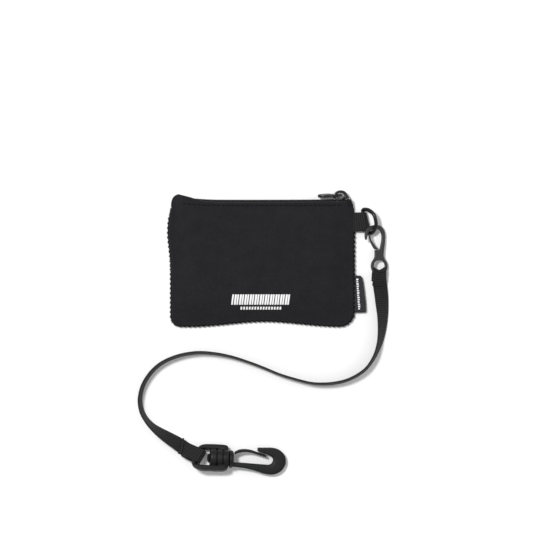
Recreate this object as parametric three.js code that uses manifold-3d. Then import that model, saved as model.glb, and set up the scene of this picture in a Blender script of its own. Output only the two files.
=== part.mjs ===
// A flat zippered neoprene pouch with a D-ring on its side, and a webbing lanyard clipped to the ring.
// Millimetres, +Z up. The pouch lies on its back panel at z = 0, its zip edge faces +Y, its closed end +X.
import * as THREE from 'three';
import { mergeVertices } from 'three/addons/utils/BufferGeometryUtils.js';
import Module from 'manifold-3d';

const wasm = await Module();
wasm.setup();

// ---------- driving dimensions ----------
const GAP = 0.3; // clearance between neighbouring pieces

const PANEL_LEFT = -59.6; // edges of the two neoprene panels
const PANEL_RIGHT = 60.3;
const PANEL_BOTTOM = -42.0;
const PANEL_TOP = 39.6;
const PANEL_THICK = 2.0;
const CORNER = { bottomLeft: 6, bottomRight: 9, topLeft: 5, topRight: 3 };
const BOTTOM_RISE = 3.6; // how far the middle of the lower edge is drawn up
const BOTTOM_MIDDLE = 2; // where the lower edge is highest, in X
const BOTTOM_RUN = 50; // from there to where the edge is straight again
const LEFT_BULGE = 1.8; // how far the left edge swells below its upper corner
const BULGE_Y = 19;
const BULGE_RUN = 12;
const CORNER_LIFT = 2.8; // how far the left end of the mouth stands up
const LIFT_START = -44;
const LIFT_RUN = 12;
const CROWN = 5.1; // how far the front panel rises over the hollow
const CROWN_RUN = 19; // width of the slope from the seam up to the full height
const MOUTH_RUN = 4.5; // width of the same slope at the zip's two ends
const SEAM_WIDTH = 1.0; // overlock seam round the three closed sides
const SEAM_HEIGHT = 3.9;

const TAPE_THICK = 0.45;
const TAPE_DEPTH = 8.5; // how far the zip tape reaches down into the pouch
const TAPE_OVERHANG = 2; // of the tape past the coil's ends
const TAPE_LIP = 0.6; // of the tape, turned in under the coil
const FLAP_SHORT = 8; // the flap ends this far before the coil does, where the mouth narrows
const ROW_WIDTH = 1.5; // one row of coil, across the mouth
const ROW_HEIGHT = 1.05;
const ROW_SPLIT = 1.1; // between the two rows
const ZIP_LEFT = -48.5; // ends of the coil
const ZIP_RIGHT = 57.7;
const STOP_LENGTH = 1.2;
const STOP_PROUD = 0.1; // how far a stop stands above the coil

const SLIDER_X = 53; // middle of the slider when the zip is shut
const SLIDER_LENGTH = 9.0;
const SLIDER_WIDTH = 6.2;
const PLATE_THICK = 0.9;
const BRIDGE_THICK = 1.4;
const BRIDGE_HEIGHT = 4.6;
const BRIDGE_WALL = 1.9;
const POST_LEFT = 0.4; // sides of the post between the plates, from the slider's middle
const POST_RIGHT = 2.2;
const SOAK = 0.2; // how far joined solids run into each other
const HINGE_RISE = 1.75; // of the puller's hinge above the upper plate
const PULLER_LENGTH = 15.8; // from the hinge bar to the far end
const PULLER_WIDTH = 6.0;
const PULLER_THICK = 2.0;
const PULLER_ARM_THICK = 1.2;
const PULLER_ARM = 7.2; // from the hinge bar to where the grip starts
const PULLER_WINDOW = [0.6, 6.1]; // ends of the frame's window, from the hinge bar
const PULLER_LEAN = 10; // degrees, rolled so that its face shows
const PULLER_DROOP = 3; // degrees, its far end lower than its hinge

const STITCH_INSET = 2.3; // topstitching below the mouth
const STITCH_LEFT = -47.5;
const STITCH_RIGHT = 51.7;
const THREAD = 0.5;

const TAB_WIDTH = 12.7; // webbing tab that holds the ring
const TAB_Y = 26.6;
const TAB_THICK = 0.9; // one layer
const TAB_TONGUE = 3.2; // length held between the panels
const RING_WIRE = 1.2; // radius
const RING_HALF = 8.3; // half the ring's length, to the wire's middle
const RING_CORNER = 1.6; // corner radius
const RING_DEPTH = 8.55; // from the bar to the arc, to the wire's middle
const RING_X = 68.7; // middle of the bar
const RING_YAW = 12.7; // degrees, the bar's slant in its tab
const RING_TILT = 37; // degrees, the arc's rise from the bar

const LABEL_TOP = -9;
const LABEL_LENGTH = 24.7;
const LABEL_REACH = 6.6; // how far it stands out of the seam
const LABEL_THICK = 0.7;

const HOOK_AT = [78, -7.6, 4.0]; // middle of the snap hook's eye bar
const HOOK_ROLL = 19.8; // degrees, the right side lower
const HOOK_PITCH = -1.4;
const HOOK_THICK = 1.9;
const SNAP_GATE_THICK = 1.0;
const EYE_OUTER = 5.95;
const EYE_WIRE = 2.1;

const STRAP_WIDTH = 10;
const STRAP_THICK = 1.3;
const FOLD_WIDTH = 7.0; // the strap where it is gathered in the snap hook's eye
const NEAR_LAP = 7.7; // the doubled stretch at each end
const FAR_LAP = 9.0;

const BASE_AT = [-45.2, -129.7, 8.6]; // middle of the swivel base's crossbar
const BASE_HEADING = -2.9; // degrees, the swivel's axis seen from above
const BASE_PITCH = 5.6; // degrees, nose down
const BASE_ROLL = -25; // degrees, the -Y rail raised
const BASE_HALF_WIDTH = 8.85;
const BASE_WINDOW_HALF = 5.7;
const BASE_THICK = 5.2;
const CROSSBAR = 1.5; // radius
const BARREL = 5.5; // radius
const BARREL_START = 10.6; // from the crossbar along the axis
const BARREL_END = 23.2;
const BARREL_GROOVES = [4.2, 7.5]; // from the barrel's back face
const GROOVE_WIDTH = 0.9;
const GROOVE_DEPTH = 0.7;
const STEM = 2.4; // radius
const COLLAR = 5.85; // radius
const COLLAR_LENGTH = 2.6;
const CLIP_THICK = 5.0;
const GATE_LEAF = 1.2;

// ---------- solids ----------
// The closed solid of a geometry whose shared vertices are merged.
function solid(geometry) {
  const bare = geometry.index ? geometry.toNonIndexed() : geometry.clone();
  bare.deleteAttribute('normal');
  bare.deleteAttribute('uv');
  const merged = mergeVertices(bare, 1e-4);
  return new wasm.Manifold(new wasm.Mesh({
    numProp: 3,
    vertProperties: new Float32Array(merged.attributes.position.array),
    triVerts: new Uint32Array(merged.index.array),
  }));
}

// The geometry of a solid.
function shell(body) {
  const mesh = body.getMesh();
  const geometry = new THREE.BufferGeometry();
  geometry.setAttribute('position', new THREE.BufferAttribute(mesh.vertProperties, 3));
  geometry.setIndex(new THREE.BufferAttribute(mesh.triVerts, 1));
  return geometry;
}

// One geometry for pieces joined together, less the pieces cut away.
function carve(joined, removed = []) {
  let body = solid(joined[0]);
  for (const geometry of joined.slice(1)) {
    body = body.add(solid(geometry));
  }
  for (const geometry of removed) {
    body = body.subtract(solid(geometry));
  }
  return shell(body);
}

// A box between two corners.
function block(low, high) {
  const size = high.map((value, axis) => value - low[axis]);
  const middle = high.map((value, axis) => (value + low[axis]) / 2);
  return new THREE.BoxGeometry(...size).translate(...middle);
}

// A plate: an outline in the XY plane, centred on z = 0.
function plate(outline, thick, bevel = 0) {
  const { shape, holes } = outline.extractPoints(8);
  const face = new THREE.Shape(THREE.ShapeUtils.isClockWise(shape) ? shape.reverse() : shape);
  const clockwise = (hole) => (THREE.ShapeUtils.isClockWise(hole) ? hole : hole.reverse());
  face.holes = holes.map((hole) => new THREE.Path(clockwise(hole)));
  const flat = thick - 2 * bevel;
  const settings = { depth: flat, bevelEnabled: bevel > 0 };
  if (bevel > 0) {
    Object.assign(settings, {
      bevelThickness: bevel, bevelSize: bevel, bevelOffset: -bevel, bevelSegments: 1,
    });
  }
  return new THREE.ExtrudeGeometry(face, settings).translate(0, 0, -flat / 2);
}

// A round bar along Y or X, centred on a point.
function bar(radius, length, axis, at, sides = 20) {
  const geometry = new THREE.CylinderGeometry(radius, radius, length, sides);
  if (axis === 'x') {
    geometry.rotateZ(-Math.PI / 2);
  }
  return geometry.translate(...at);
}

// An outline through points, smooth all the way round.
function smoothOutline(points, divisions) {
  const curve = new THREE.CatmullRomCurve3(points.map(([x, y]) => new THREE.Vector3(x, y, 0)), true);
  return new THREE.Shape(curve.getPoints(divisions).slice(0, -1).map((p) => new THREE.Vector2(p.x, p.y)));
}

// A rounded rectangle from its corners.
function rounded(x0, y0, x1, y1, radius) {
  const shape = new THREE.Shape();
  shape.moveTo(x0 + radius, y0);
  shape.lineTo(x1 - radius, y0);
  shape.absarc(x1 - radius, y0 + radius, radius, -Math.PI / 2, 0);
  shape.lineTo(x1, y1 - radius);
  shape.absarc(x1 - radius, y1 - radius, radius, 0, Math.PI / 2);
  shape.lineTo(x0 + radius, y1);
  shape.absarc(x0 + radius, y1 - radius, radius, Math.PI / 2, Math.PI);
  shape.lineTo(x0, y0 + radius);
  shape.absarc(x0 + radius, y0 + radius, radius, Math.PI, 1.5 * Math.PI);
  return shape;
}

const degrees = THREE.MathUtils.degToRad;
const group = new THREE.Group();

// Adds a named piece with its own finish to a parent group.
function piece(name, geometry, [color, roughness, metalness], parent = group) {
  const material = new THREE.MeshStandardMaterial({ color, roughness, metalness });
  const mesh = new THREE.Mesh(geometry, material);
  mesh.name = name;
  parent.add(mesh);
  return mesh;
}

const NEOPRENE = [0x242427, 0.95, 0];
const WEBBING = [0x1c1c1c, 0.9, 0];
const THREADS = [0x19191a, 0.9, 0];
const COIL = [0x101010, 0.5, 0];
const BLACK_METAL = [0x0c0c0d, 0.25, 0.9];
const DARK_PLASTIC = [0x2a2a2c, 0.5, 0];
const LABEL = [0x1a1820, 0.8, 0];

// ---------- pouch panels ----------
const ramp = (value) => THREE.MathUtils.smoothstep(value, 0, 1);
const PANEL_MIDDLE = [(PANEL_LEFT + PANEL_RIGHT) / 2, (PANEL_BOTTOM + PANEL_TOP) / 2];
const PANEL_HALF = [(PANEL_RIGHT - PANEL_LEFT) / 2, (PANEL_TOP - PANEL_BOTTOM) / 2];

// A point of the panels' edge, for u, v on the edge of the unit square: a rectangle with round corners, then
// the sewn edge's own waves.
function edgePoint(u, v) {
  const right = u > 0;
  const radius = v > 0
    ? (right ? CORNER.topRight : CORNER.topLeft)
    : (right ? CORNER.bottomRight : CORNER.bottomLeft);
  let x = Math.abs(u) * PANEL_HALF[0];
  let y = Math.abs(v) * PANEL_HALF[1];
  const over = [x - (PANEL_HALF[0] - radius), y - (PANEL_HALF[1] - radius)];
  if (over[0] > 0 && over[1] > 0) {
    const length = Math.hypot(...over);
    x = PANEL_HALF[0] - radius + (over[0] / length) * radius;
    y = PANEL_HALF[1] - radius + (over[1] / length) * radius;
  }
  x = PANEL_MIDDLE[0] + Math.sign(u) * x;
  y = PANEL_MIDDLE[1] + Math.sign(v) * y;
  if (v < 0) {
    y += BOTTOM_RISE * ramp(1 - Math.abs(x - BOTTOM_MIDDLE) / BOTTOM_RUN) * ramp(-v * 2 - 1);
  } else {
    y += CORNER_LIFT * ramp((LIFT_START - x) / LIFT_RUN) * ramp(v * 2 - 1);
  }
  if (u < 0) {
    x -= LEFT_BULGE * Math.exp(-(((y - BULGE_Y) / BULGE_RUN) ** 2)) * ramp(-u * 2 - 1);
  }
  return [x, y];
}

// The panels' plan: rings of the edge, shrunk towards the middle.
function planPoint(u, v) {
  const ring = Math.max(Math.abs(u), Math.abs(v));
  if (ring === 0) {
    return PANEL_MIDDLE;
  }
  const [x, y] = edgePoint(u / ring, v / ring);
  return [
    PANEL_MIDDLE[0] + (x - PANEL_MIDDLE[0]) * ring,
    PANEL_MIDDLE[1] + (y - PANEL_MIDDLE[1]) * ring,
  ];
}

// The front panel's rise over the hollow: none along the seam, full in the middle and along the mouth.
function crown(x, y) {
  const up = THREE.MathUtils.clamp((y - PANEL_BOTTOM) / (PANEL_TOP - PANEL_BOTTOM), 0, 1);
  const run = THREE.MathUtils.lerp(CROWN_RUN, MOUTH_RUN, up ** 3);
  const aside = Math.min(x - PANEL_LEFT, PANEL_RIGHT - x);
  return CROWN * ramp(aside / run) * ramp((y - PANEL_BOTTOM) / CROWN_RUN);
}

// A sheet of neoprene between two surfaces: a box whose grid is drawn finer towards the edges.
function sheet(bottom, top, across, along) {
  const geometry = new THREE.BoxGeometry(2, 2, 1, across, along, 1);
  const place = geometry.attributes.position;
  const finer = (value) => Math.sign(value) * (1 - (1 - Math.abs(value)) ** 1.7);
  for (let i = 0; i < place.count; i += 1) {
    const [x, y] = planPoint(finer(place.getX(i)), finer(place.getY(i)));
    place.setXYZ(i, x, y, (place.getZ(i) > 0 ? top : bottom)(x, y));
  }
  return geometry;
}

const tabSlot = block(
  [PANEL_RIGHT - TAB_TONGUE - 2 * GAP, TAB_Y - TAB_WIDTH / 2 - GAP, 0.8],
  [PANEL_RIGHT + 6, TAB_Y + TAB_WIDTH / 2 + GAP, 3.6],
);
const labelMiddle = PANEL_THICK + GAP / 2;
const labelSlot = block(
  [PANEL_RIGHT - TAB_TONGUE - 2 * GAP, LABEL_TOP - LABEL_LENGTH - GAP, labelMiddle - LABEL_THICK / 2 - GAP],
  [PANEL_RIGHT + 6, LABEL_TOP + GAP, labelMiddle + LABEL_THICK / 2 + GAP],
);

function backPanel() {
  return carve([sheet(() => 0, () => PANEL_THICK, 22, 16)], [tabSlot, labelSlot]);
}

function frontPanel() {
  const under = (x, y) => PANEL_THICK + GAP + crown(x, y);
  const over = (x, y) => under(x, y) + PANEL_THICK;
  return carve([sheet(under, over, 30, 20)], [tabSlot, labelSlot]);
}

// The overlock seam: a bead that follows the two panels' edges round the three closed sides.
function perimeterSeam() {
  const route = [];
  const add = (u, v) => {
    const [x, y] = edgePoint(u, v);
    route.push([x, y]);
  };
  for (let v = 0.92; v > -0.999; v -= 0.08) {
    add(1, v);
  }
  for (let u = 1; u > -0.999; u -= 0.05) {
    add(u, -1);
  }
  for (let v = -1; v < 0.93; v += 0.08) {
    add(-1, v);
  }
  const curve = new THREE.CatmullRomCurve3(route.map(([x, y]) => new THREE.Vector3(x, y, 0)));
  const offset = GAP + SEAM_WIDTH / 2;
  const middle = PANEL_THICK + GAP / 2;
  const steps = 90;
  const section = new THREE.BoxGeometry(SEAM_WIDTH, SEAM_HEIGHT, 1, 1, 1, steps);
  const place = section.attributes.position;
  for (let i = 0; i < place.count; i += 1) {
    const along = place.getZ(i) + 0.5;
    const at = curve.getPointAt(along);
    const way = curve.getTangentAt(along);
    const out = place.getX(i) + offset;
    place.setXYZ(i, at.x - way.y * out, at.y + way.x * out, middle + place.getY(i));
  }
  return carve([section], [tabSlot, labelSlot]);
}

// ---------- zip ----------
const MOUTH_BACK = PANEL_THICK; // inner faces of the two panels at the mouth
const MOUTH_FRONT = PANEL_THICK + GAP + CROWN;
const MOUTH_MIDDLE = (MOUTH_BACK + MOUTH_FRONT) / 2;
const ROW_BOTTOM = PANEL_TOP + 3.5 * GAP;
const ROW_TOP = ROW_BOTTOM + ROW_HEIGHT;
const LIP_TOP = ROW_BOTTOM - GAP;

// One zip tape: a flap sewn inside the panel, and a lip that turns in under the coil.
function zipTape(side) {
  const wall = side > 0 ? MOUTH_FRONT - GAP : MOUTH_BACK + GAP;
  const inner = wall - side * TAPE_THICK;
  const lip = MOUTH_MIDDLE + side * (ROW_SPLIT / 2 + TAPE_LIP);
  const flap = block(
    [ZIP_LEFT - TAPE_OVERHANG, LIP_TOP - TAPE_DEPTH, Math.min(wall, inner)],
    [ZIP_RIGHT - FLAP_SHORT, LIP_TOP, Math.max(wall, inner)],
  );
  const fold = block(
    [ZIP_LEFT - TAPE_OVERHANG, LIP_TOP - TAPE_THICK, Math.min(wall, lip)],
    [ZIP_RIGHT + TAPE_OVERHANG - GAP, LIP_TOP, Math.max(wall, lip)],
  );
  return carve([flap, fold]);
}

function coilRow(side) {
  const inner = MOUTH_MIDDLE + side * (ROW_SPLIT / 2);
  const outer = inner + side * ROW_WIDTH;
  return block([ZIP_LEFT, ROW_BOTTOM, Math.min(inner, outer)], [ZIP_RIGHT, ROW_TOP, Math.max(inner, outer)]);
}

// The clamp across both rows at the open end of the travel.
function bottomStop() {
  const half = ROW_SPLIT / 2 + ROW_WIDTH;
  const right = ZIP_LEFT - GAP;
  return block(
    [right - STOP_LENGTH, ROW_BOTTOM, MOUTH_MIDDLE - half],
    [right, ROW_TOP + STOP_PROUD, MOUTH_MIDDLE + half],
  );
}

// The small clamp on one row at the closed end.
function topStop(side) {
  const left = ZIP_RIGHT + GAP;
  const inner = MOUTH_MIDDLE + side * (ROW_SPLIT / 2);
  const outer = inner + side * ROW_WIDTH;
  return block(
    [left, ROW_BOTTOM, Math.min(inner, outer)],
    [left + STOP_LENGTH, ROW_TOP + STOP_PROUD, Math.max(inner, outer)],
  );
}

const PLATE_BOTTOM = ROW_TOP + GAP; // underside of the slider's upper plate
const PLATE_TOP = PLATE_BOTTOM + PLATE_THICK;
const BRIDGE_TOP = PLATE_TOP + BRIDGE_HEIGHT;
const PULL_HINGE = [SLIDER_X - 0.2, PLATE_TOP + HINGE_RISE];

// The slider: two plates with the coil between them, joined by a post, and an arched bridge for the puller.
function sliderBody() {
  const half = SLIDER_LENGTH / 2;
  const crest = new THREE.Shape();
  crest.moveTo(-half, -SLIDER_WIDTH * 0.33);
  crest.lineTo(half * 0.35, -SLIDER_WIDTH / 2);
  crest.quadraticCurveTo(half, -SLIDER_WIDTH / 2, half, -SLIDER_WIDTH * 0.2);
  crest.lineTo(half, SLIDER_WIDTH * 0.2);
  crest.quadraticCurveTo(half, SLIDER_WIDTH / 2, half * 0.35, SLIDER_WIDTH / 2);
  crest.lineTo(-half, SLIDER_WIDTH * 0.33);
  crest.closePath();
  const upper = plate(crest, PLATE_THICK).rotateX(Math.PI / 2);
  upper.translate(SLIDER_X, PLATE_BOTTOM + PLATE_THICK / 2, MOUTH_MIDDLE);
  const lowerHalf = MOUTH_FRONT - MOUTH_MIDDLE - TAPE_THICK - 2.5 * GAP;
  const lowerTop = LIP_TOP - TAPE_THICK - GAP;
  const lower = block(
    [SLIDER_X - half + 0.6, lowerTop - PLATE_THICK, MOUTH_MIDDLE - lowerHalf],
    [SLIDER_X + half - POST_RIGHT, lowerTop, MOUTH_MIDDLE + lowerHalf],
  );
  const post = block(
    [SLIDER_X + POST_LEFT, lowerTop - SOAK, MOUTH_MIDDLE - ROW_SPLIT / 2 + GAP],
    [SLIDER_X + POST_RIGHT, PLATE_BOTTOM + SOAK, MOUTH_MIDDLE + ROW_SPLIT / 2 - GAP],
  );
  const arch = new THREE.Shape();
  arch.moveTo(SLIDER_X - half - SOAK, PLATE_TOP - SOAK);
  arch.bezierCurveTo(
    SLIDER_X - half, BRIDGE_TOP - 1, SLIDER_X - 2, BRIDGE_TOP, SLIDER_X + 1, BRIDGE_TOP,
  );
  arch.bezierCurveTo(
    SLIDER_X + 3.6, BRIDGE_TOP, SLIDER_X + half - 0.8, BRIDGE_TOP - 2.2, SLIDER_X + half, PLATE_TOP - SOAK,
  );
  arch.closePath();
  const hole = new THREE.Path();
  hole.absellipse(SLIDER_X - 0.1, PLATE_TOP + 1.8, half - BRIDGE_WALL, 1.42, 0, 2 * Math.PI, true);
  arch.holes.push(hole);
  const bridge = plate(arch, BRIDGE_THICK).translate(0, 0, MOUTH_MIDDLE);
  return carve([upper, lower, post, bridge]);
}

// The puller, modelled lying along -X from its hinge at the origin, its width along Z: a swelled grip, and a
// frame whose end bar passes through the bridge.
function puller() {
  const far = -PULLER_LENGTH;
  const half = PULLER_WIDTH / 2;
  const outline = new THREE.Shape();
  const [near, end] = PULLER_WINDOW;
  outline.moveTo(near, -1.9);
  outline.lineTo(-PULLER_ARM, -half + 0.3);
  outline.bezierCurveTo(-10, -half - 0.2, far, -half, far, 0);
  outline.bezierCurveTo(far, half, -10, half + 0.2, -PULLER_ARM, half - 0.3);
  outline.lineTo(near, 1.9);
  outline.closePath();
  const frame = plate(outline, PULLER_ARM_THICK).rotateX(Math.PI / 2);
  const gripOutline = new THREE.Shape();
  gripOutline.moveTo(-PULLER_ARM, -half + 0.6);
  gripOutline.bezierCurveTo(-10, -half + 0.1, far + 0.3, -half + 0.3, far + 0.3, 0);
  gripOutline.bezierCurveTo(far + 0.3, half - 0.3, -10, half - 0.1, -PULLER_ARM, half - 0.6);
  gripOutline.closePath();
  const grip = plate(gripOutline, PULLER_THICK, 0.3).rotateX(Math.PI / 2);
  const window = block([-end, -2, -1.3], [-near, 2, 1.3]);
  return carve([frame, grip], [window]);
}

// The thread of the topstitching that holds the front tape to the panel, along the panel's surface.
function mouthStitch() {
  const y = PANEL_TOP - STITCH_INSET;
  const z = MOUTH_FRONT + PANEL_THICK + GAP / 2;
  return block([STITCH_LEFT, y - THREAD / 2, z], [STITCH_RIGHT, y + THREAD / 2, z + THREAD / 2]);
}

// ---------- ring tab and side label ----------
const RING_Z = RING_WIRE + GAP + TAB_THICK + 0.1;
const ringYaw = degrees(RING_YAW);

// The webbing tab, folded round the ring's bar, with its two layers held between the panels.
function webbingTab() {
  const tubeRadius = RING_WIRE + GAP + TAB_THICK;
  const low = 2.15 - TAB_THICK - 0.1;
  const high = 2.15 + TAB_THICK + 0.1;
  const half = TAB_WIDTH / 2;
  const lug = block([PANEL_RIGHT - TAB_TONGUE, TAB_Y - half, low], [RING_X, TAB_Y + half, high]);
  const fold = bar(tubeRadius, 2 * TAB_WIDTH, 'y', [0, 0, 0], 24).rotateZ(ringYaw);
  fold.translate(RING_X, TAB_Y, RING_Z);
  const bore = bar(RING_WIRE + GAP, 3 * TAB_WIDTH, 'y', [0, 0, 0], 20).rotateZ(ringYaw);
  bore.translate(RING_X, TAB_Y, RING_Z);
  const ends = [-1, 1].map((side) => block(
    [RING_X - 12, TAB_Y + Math.min(side * half, side * 60), -5],
    [RING_X + 12, TAB_Y + Math.max(side * half, side * 60), 12],
  ));
  return carve([lug, fold], [bore, ...ends]);
}

// The ring, modelled in its own plane with the bar on the Y axis and the arc towards +X.
function dRing() {
  const turn = RING_CORNER;
  const side = RING_HALF;
  const route = new THREE.CurvePath();
  const point = (x, y) => new THREE.Vector3(x, y, 0);
  route.add(new THREE.LineCurve3(point(0, -side + turn), point(0, side - turn)));
  route.add(new THREE.QuadraticBezierCurve3(point(0, side - turn), point(0, side), point(turn, side)));
  const bulge = RING_DEPTH * 1.28;
  route.add(new THREE.CubicBezierCurve3(
    point(turn, side), point(bulge, side * 0.98), point(bulge, -side * 0.98), point(turn, -side),
  ));
  route.add(new THREE.QuadraticBezierCurve3(point(turn, -side), point(0, -side), point(0, -side + turn)));
  return new THREE.TubeGeometry(route, 64, RING_WIRE, 12, true);
}

// A folded woven label, held in the side seam by its tongue.
function sideLabel() {
  const out = PANEL_RIGHT + SEAM_WIDTH + GAP + LABEL_REACH;
  const shape = new THREE.Shape();
  const low = LABEL_TOP - LABEL_LENGTH;
  const inner = PANEL_RIGHT - TAB_TONGUE;
  shape.moveTo(inner, low);
  shape.lineTo(out - 0.6, low);
  shape.quadraticCurveTo(out + 0.7, low, out + 0.7, low + 2);
  shape.lineTo(out - 1.2, LABEL_TOP - 3);
  shape.quadraticCurveTo(out - 1.6, LABEL_TOP, out - 3.6, LABEL_TOP);
  shape.lineTo(inner, LABEL_TOP);
  shape.closePath();
  return plate(shape, LABEL_THICK).translate(0, 0, labelMiddle);
}

// ---------- snap hook ----------
// The hook and its gate lie in the XY plane, with the middle of the eye's lower bar at the origin.
const eyeRing = EYE_OUTER - EYE_WIRE / 2;

function snapHookBody() {
  const eye = new THREE.Shape();
  const left = -eyeRing + 0.4;
  eye.moveTo(left, -EYE_WIRE / 2);
  eye.lineTo(-left, -EYE_WIRE / 2);
  eye.bezierCurveTo(EYE_OUTER + 0.6, 0, EYE_OUTER + 0.8, 6.2, 4.4, 9.0);
  eye.bezierCurveTo(3.4, 10.2, 3.3, 11, 3.3, 12.2);
  eye.lineTo(3.6, 15.6);
  eye.lineTo(-3.3, 15.6);
  eye.lineTo(-3.3, 12.2);
  eye.bezierCurveTo(-3.3, 11, -3.4, 10.2, -4.4, 9.0);
  eye.bezierCurveTo(-EYE_OUTER - 0.8, 6.2, -EYE_OUTER - 0.6, 0, left, -EYE_WIRE / 2);
  const hole = new THREE.Path();
  hole.moveTo(-3.9, EYE_WIRE / 2);
  hole.bezierCurveTo(-4.5, 3.4, -3.2, 8.3, 0, 8.3);
  hole.bezierCurveTo(3.2, 8.3, 4.5, 3.4, 3.9, EYE_WIRE / 2);
  hole.closePath();
  eye.holes.push(hole);
  const loop = smoothOutline([
    [0.2, 14.4], [3.2, 14.2], [3.9, 18], [4.45, 24], [3.9, 28.3], [2.1, 31.1], [-1, 32.3], [-5, 31.9],
    [-8.3, 30.2], [-9.9, 27.4], [-10.2, 24.6], [-9.8, 22.3], [-8.7, 22.3], [-8.2, 24.6], [-7.6, 26.9],
    [-5.6, 29.0], [-2.6, 29.8], [0.2, 28.8], [1.6, 26.4], [1.8, 23], [1.2, 18.6], [0.4, 16.4],
  ], 88);
  const groove = block([-4.5, 12.1, HOOK_THICK / 2 - 0.35], [4.5, 12.8, HOOK_THICK]);
  return carve([plate(eye, HOOK_THICK, 0.3), plate(loop, HOOK_THICK, 0.3)], [groove]);
}

const SNAP_GATE_ROOT = [-1.4, 16.4];

function snapHookGate() {
  const shape = new THREE.Shape();
  shape.moveTo(-3.3, 15.6 + GAP);
  shape.lineTo(-0.3, 15.6 + GAP);
  shape.quadraticCurveTo(-2.4, 17.6, -3.9, 19.4);
  shape.quadraticCurveTo(-5.8, 22.2, -6.4, 26.1);
  shape.lineTo(-7.3, 26.0);
  shape.quadraticCurveTo(-7.2, 21.4, -5.0, 18.2);
  shape.closePath();
  return plate(shape, SNAP_GATE_THICK);
}

// ---------- strap ----------
// The strap's middle line as [x, y, lean, lift]: the lean in degrees turns its width from flat to on edge,
// and the lift raises it above the table it would otherwise rest on.
const STRAP_ROUTE = [
  [78.1, -10.5, -19.8, 0], [78.6, -15.3, -20, 0], [79.4, -22, -25, 0], [79.9, -28.7, -33, 0],
  [80.2, -35.3, -44, 0], [80.0, -42, -53, 0], [79.3, -48.7, -62, 0], [77.9, -55, -70, 0],
  [75.0, -62.5, -77, 0], [70.2, -69.8, -80, 0], [64.5, -74.6, -80, 0], [57, -78.4, -80, 0],
  [48.7, -80.5, -80, 0], [40, -81.1, -81, 0], [32, -80.5, -82, 0], [22, -78, -83, 0],
  [11.3, -74.7, -83, 0], [0.7, -70.3, -83, 0], [-10, -66.3, -83, 0], [-20.7, -63, -82, 0],
  [-31.3, -61, -81, 0], [-42, -60.3, -80, 0], [-52.7, -61.7, -80, 0], [-62, -64.8, -80, 0],
  [-68.7, -68.7, -80, 0], [-74.3, -74.2, -80, 0], [-78.8, -81.5, -80, 0], [-80.8, -88.5, -80, 0],
  [-81, -94, -80, 0], [-79.6, -100, -79, 0], [-76.6, -105.2, -77, 0], [-72.4, -109.8, -70, 0],
  [-67.4, -113.6, -58, 0.2], [-61.6, -117.3, -45, 0.8], [-56, -120.8, -34, 1.7], [-50.5, -124.5, -26, 2.9],
];

// A flat band along the route: an extruded section whose length is carried along the curve.
function strapRun() {
  const places = new THREE.CatmullRomCurve3(STRAP_ROUTE.map(([x, y, lean, lift]) => {
    const tilt = degrees(lean);
    const rest = (STRAP_WIDTH / 2) * Math.abs(Math.sin(tilt)) + (STRAP_THICK / 2) * Math.cos(tilt);
    return new THREE.Vector3(x, y, rest + lift + 0.05);
  }));
  const leans = new THREE.CatmullRomCurve3(STRAP_ROUTE.map(([, , lean]) => new THREE.Vector3(lean, 0, 0)));
  const half = STRAP_WIDTH / 2;
  const section = rounded(-half, -STRAP_THICK / 2, half, STRAP_THICK / 2, STRAP_THICK / 2 - 0.05);
  const steps = 78;
  const settings = { depth: 1, steps, bevelEnabled: false, curveSegments: 2 };
  const band = new THREE.ExtrudeGeometry(section, settings);
  const place = band.attributes.position;
  const up = new THREE.Vector3(0, 0, 1);
  for (let i = 0; i < place.count; i += 1) {
    const along = place.getZ(i);
    const at = places.getPoint(along);
    const way = places.getTangent(along);
    const tilt = degrees(leans.getPoint(along).x);
    const left = new THREE.Vector3().crossVectors(up, way).normalize();
    const above = new THREE.Vector3().crossVectors(way, left);
    const width = left.clone().multiplyScalar(Math.cos(tilt)).addScaledVector(above, Math.sin(tilt));
    const face = above.clone().multiplyScalar(Math.cos(tilt)).addScaledVector(left, -Math.sin(tilt));
    at.addScaledVector(width, place.getX(i)).addScaledVector(face, place.getY(i));
    place.setXYZ(i, at.x, at.y, at.z);
  }
  return band;
}

// The doubled end of the strap round a bar: a drop outline in the plane of X and Z, the bar at the origin,
// the lap towards -X.
function foldedEnd(barRadius, lap, width, dip) {
  const outer = barRadius + GAP + STRAP_THICK;
  const shape = new THREE.Shape();
  shape.moveTo(0, outer);
  shape.absarc(0, 0, outer, Math.PI / 2, -Math.PI / 2, true);
  shape.lineTo(-lap, -dip);
  shape.lineTo(-lap, -dip + 2 * STRAP_THICK);
  shape.closePath();
  const hole = new THREE.Path();
  hole.absarc(0, 0, barRadius + GAP, 0, 2 * Math.PI, true);
  shape.holes.push(hole);
  return plate(shape, width).rotateX(Math.PI / 2);
}

function strapWebbing() {
  const near = foldedEnd(EYE_WIRE / 2, NEAR_LAP, FOLD_WIDTH, 2.9);
  near.rotateZ(Math.PI / 2);
  near.rotateY(degrees(HOOK_ROLL));
  near.translate(...HOOK_AT);
  const far = foldedEnd(CROSSBAR, FAR_LAP, STRAP_WIDTH, 5.2);
  far.rotateX(degrees(BASE_ROLL));
  far.rotateY(degrees(BASE_PITCH));
  far.rotateZ(degrees(BASE_HEADING));
  far.translate(...BASE_AT);
  return carve([strapRun(), near, far]);
}

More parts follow.
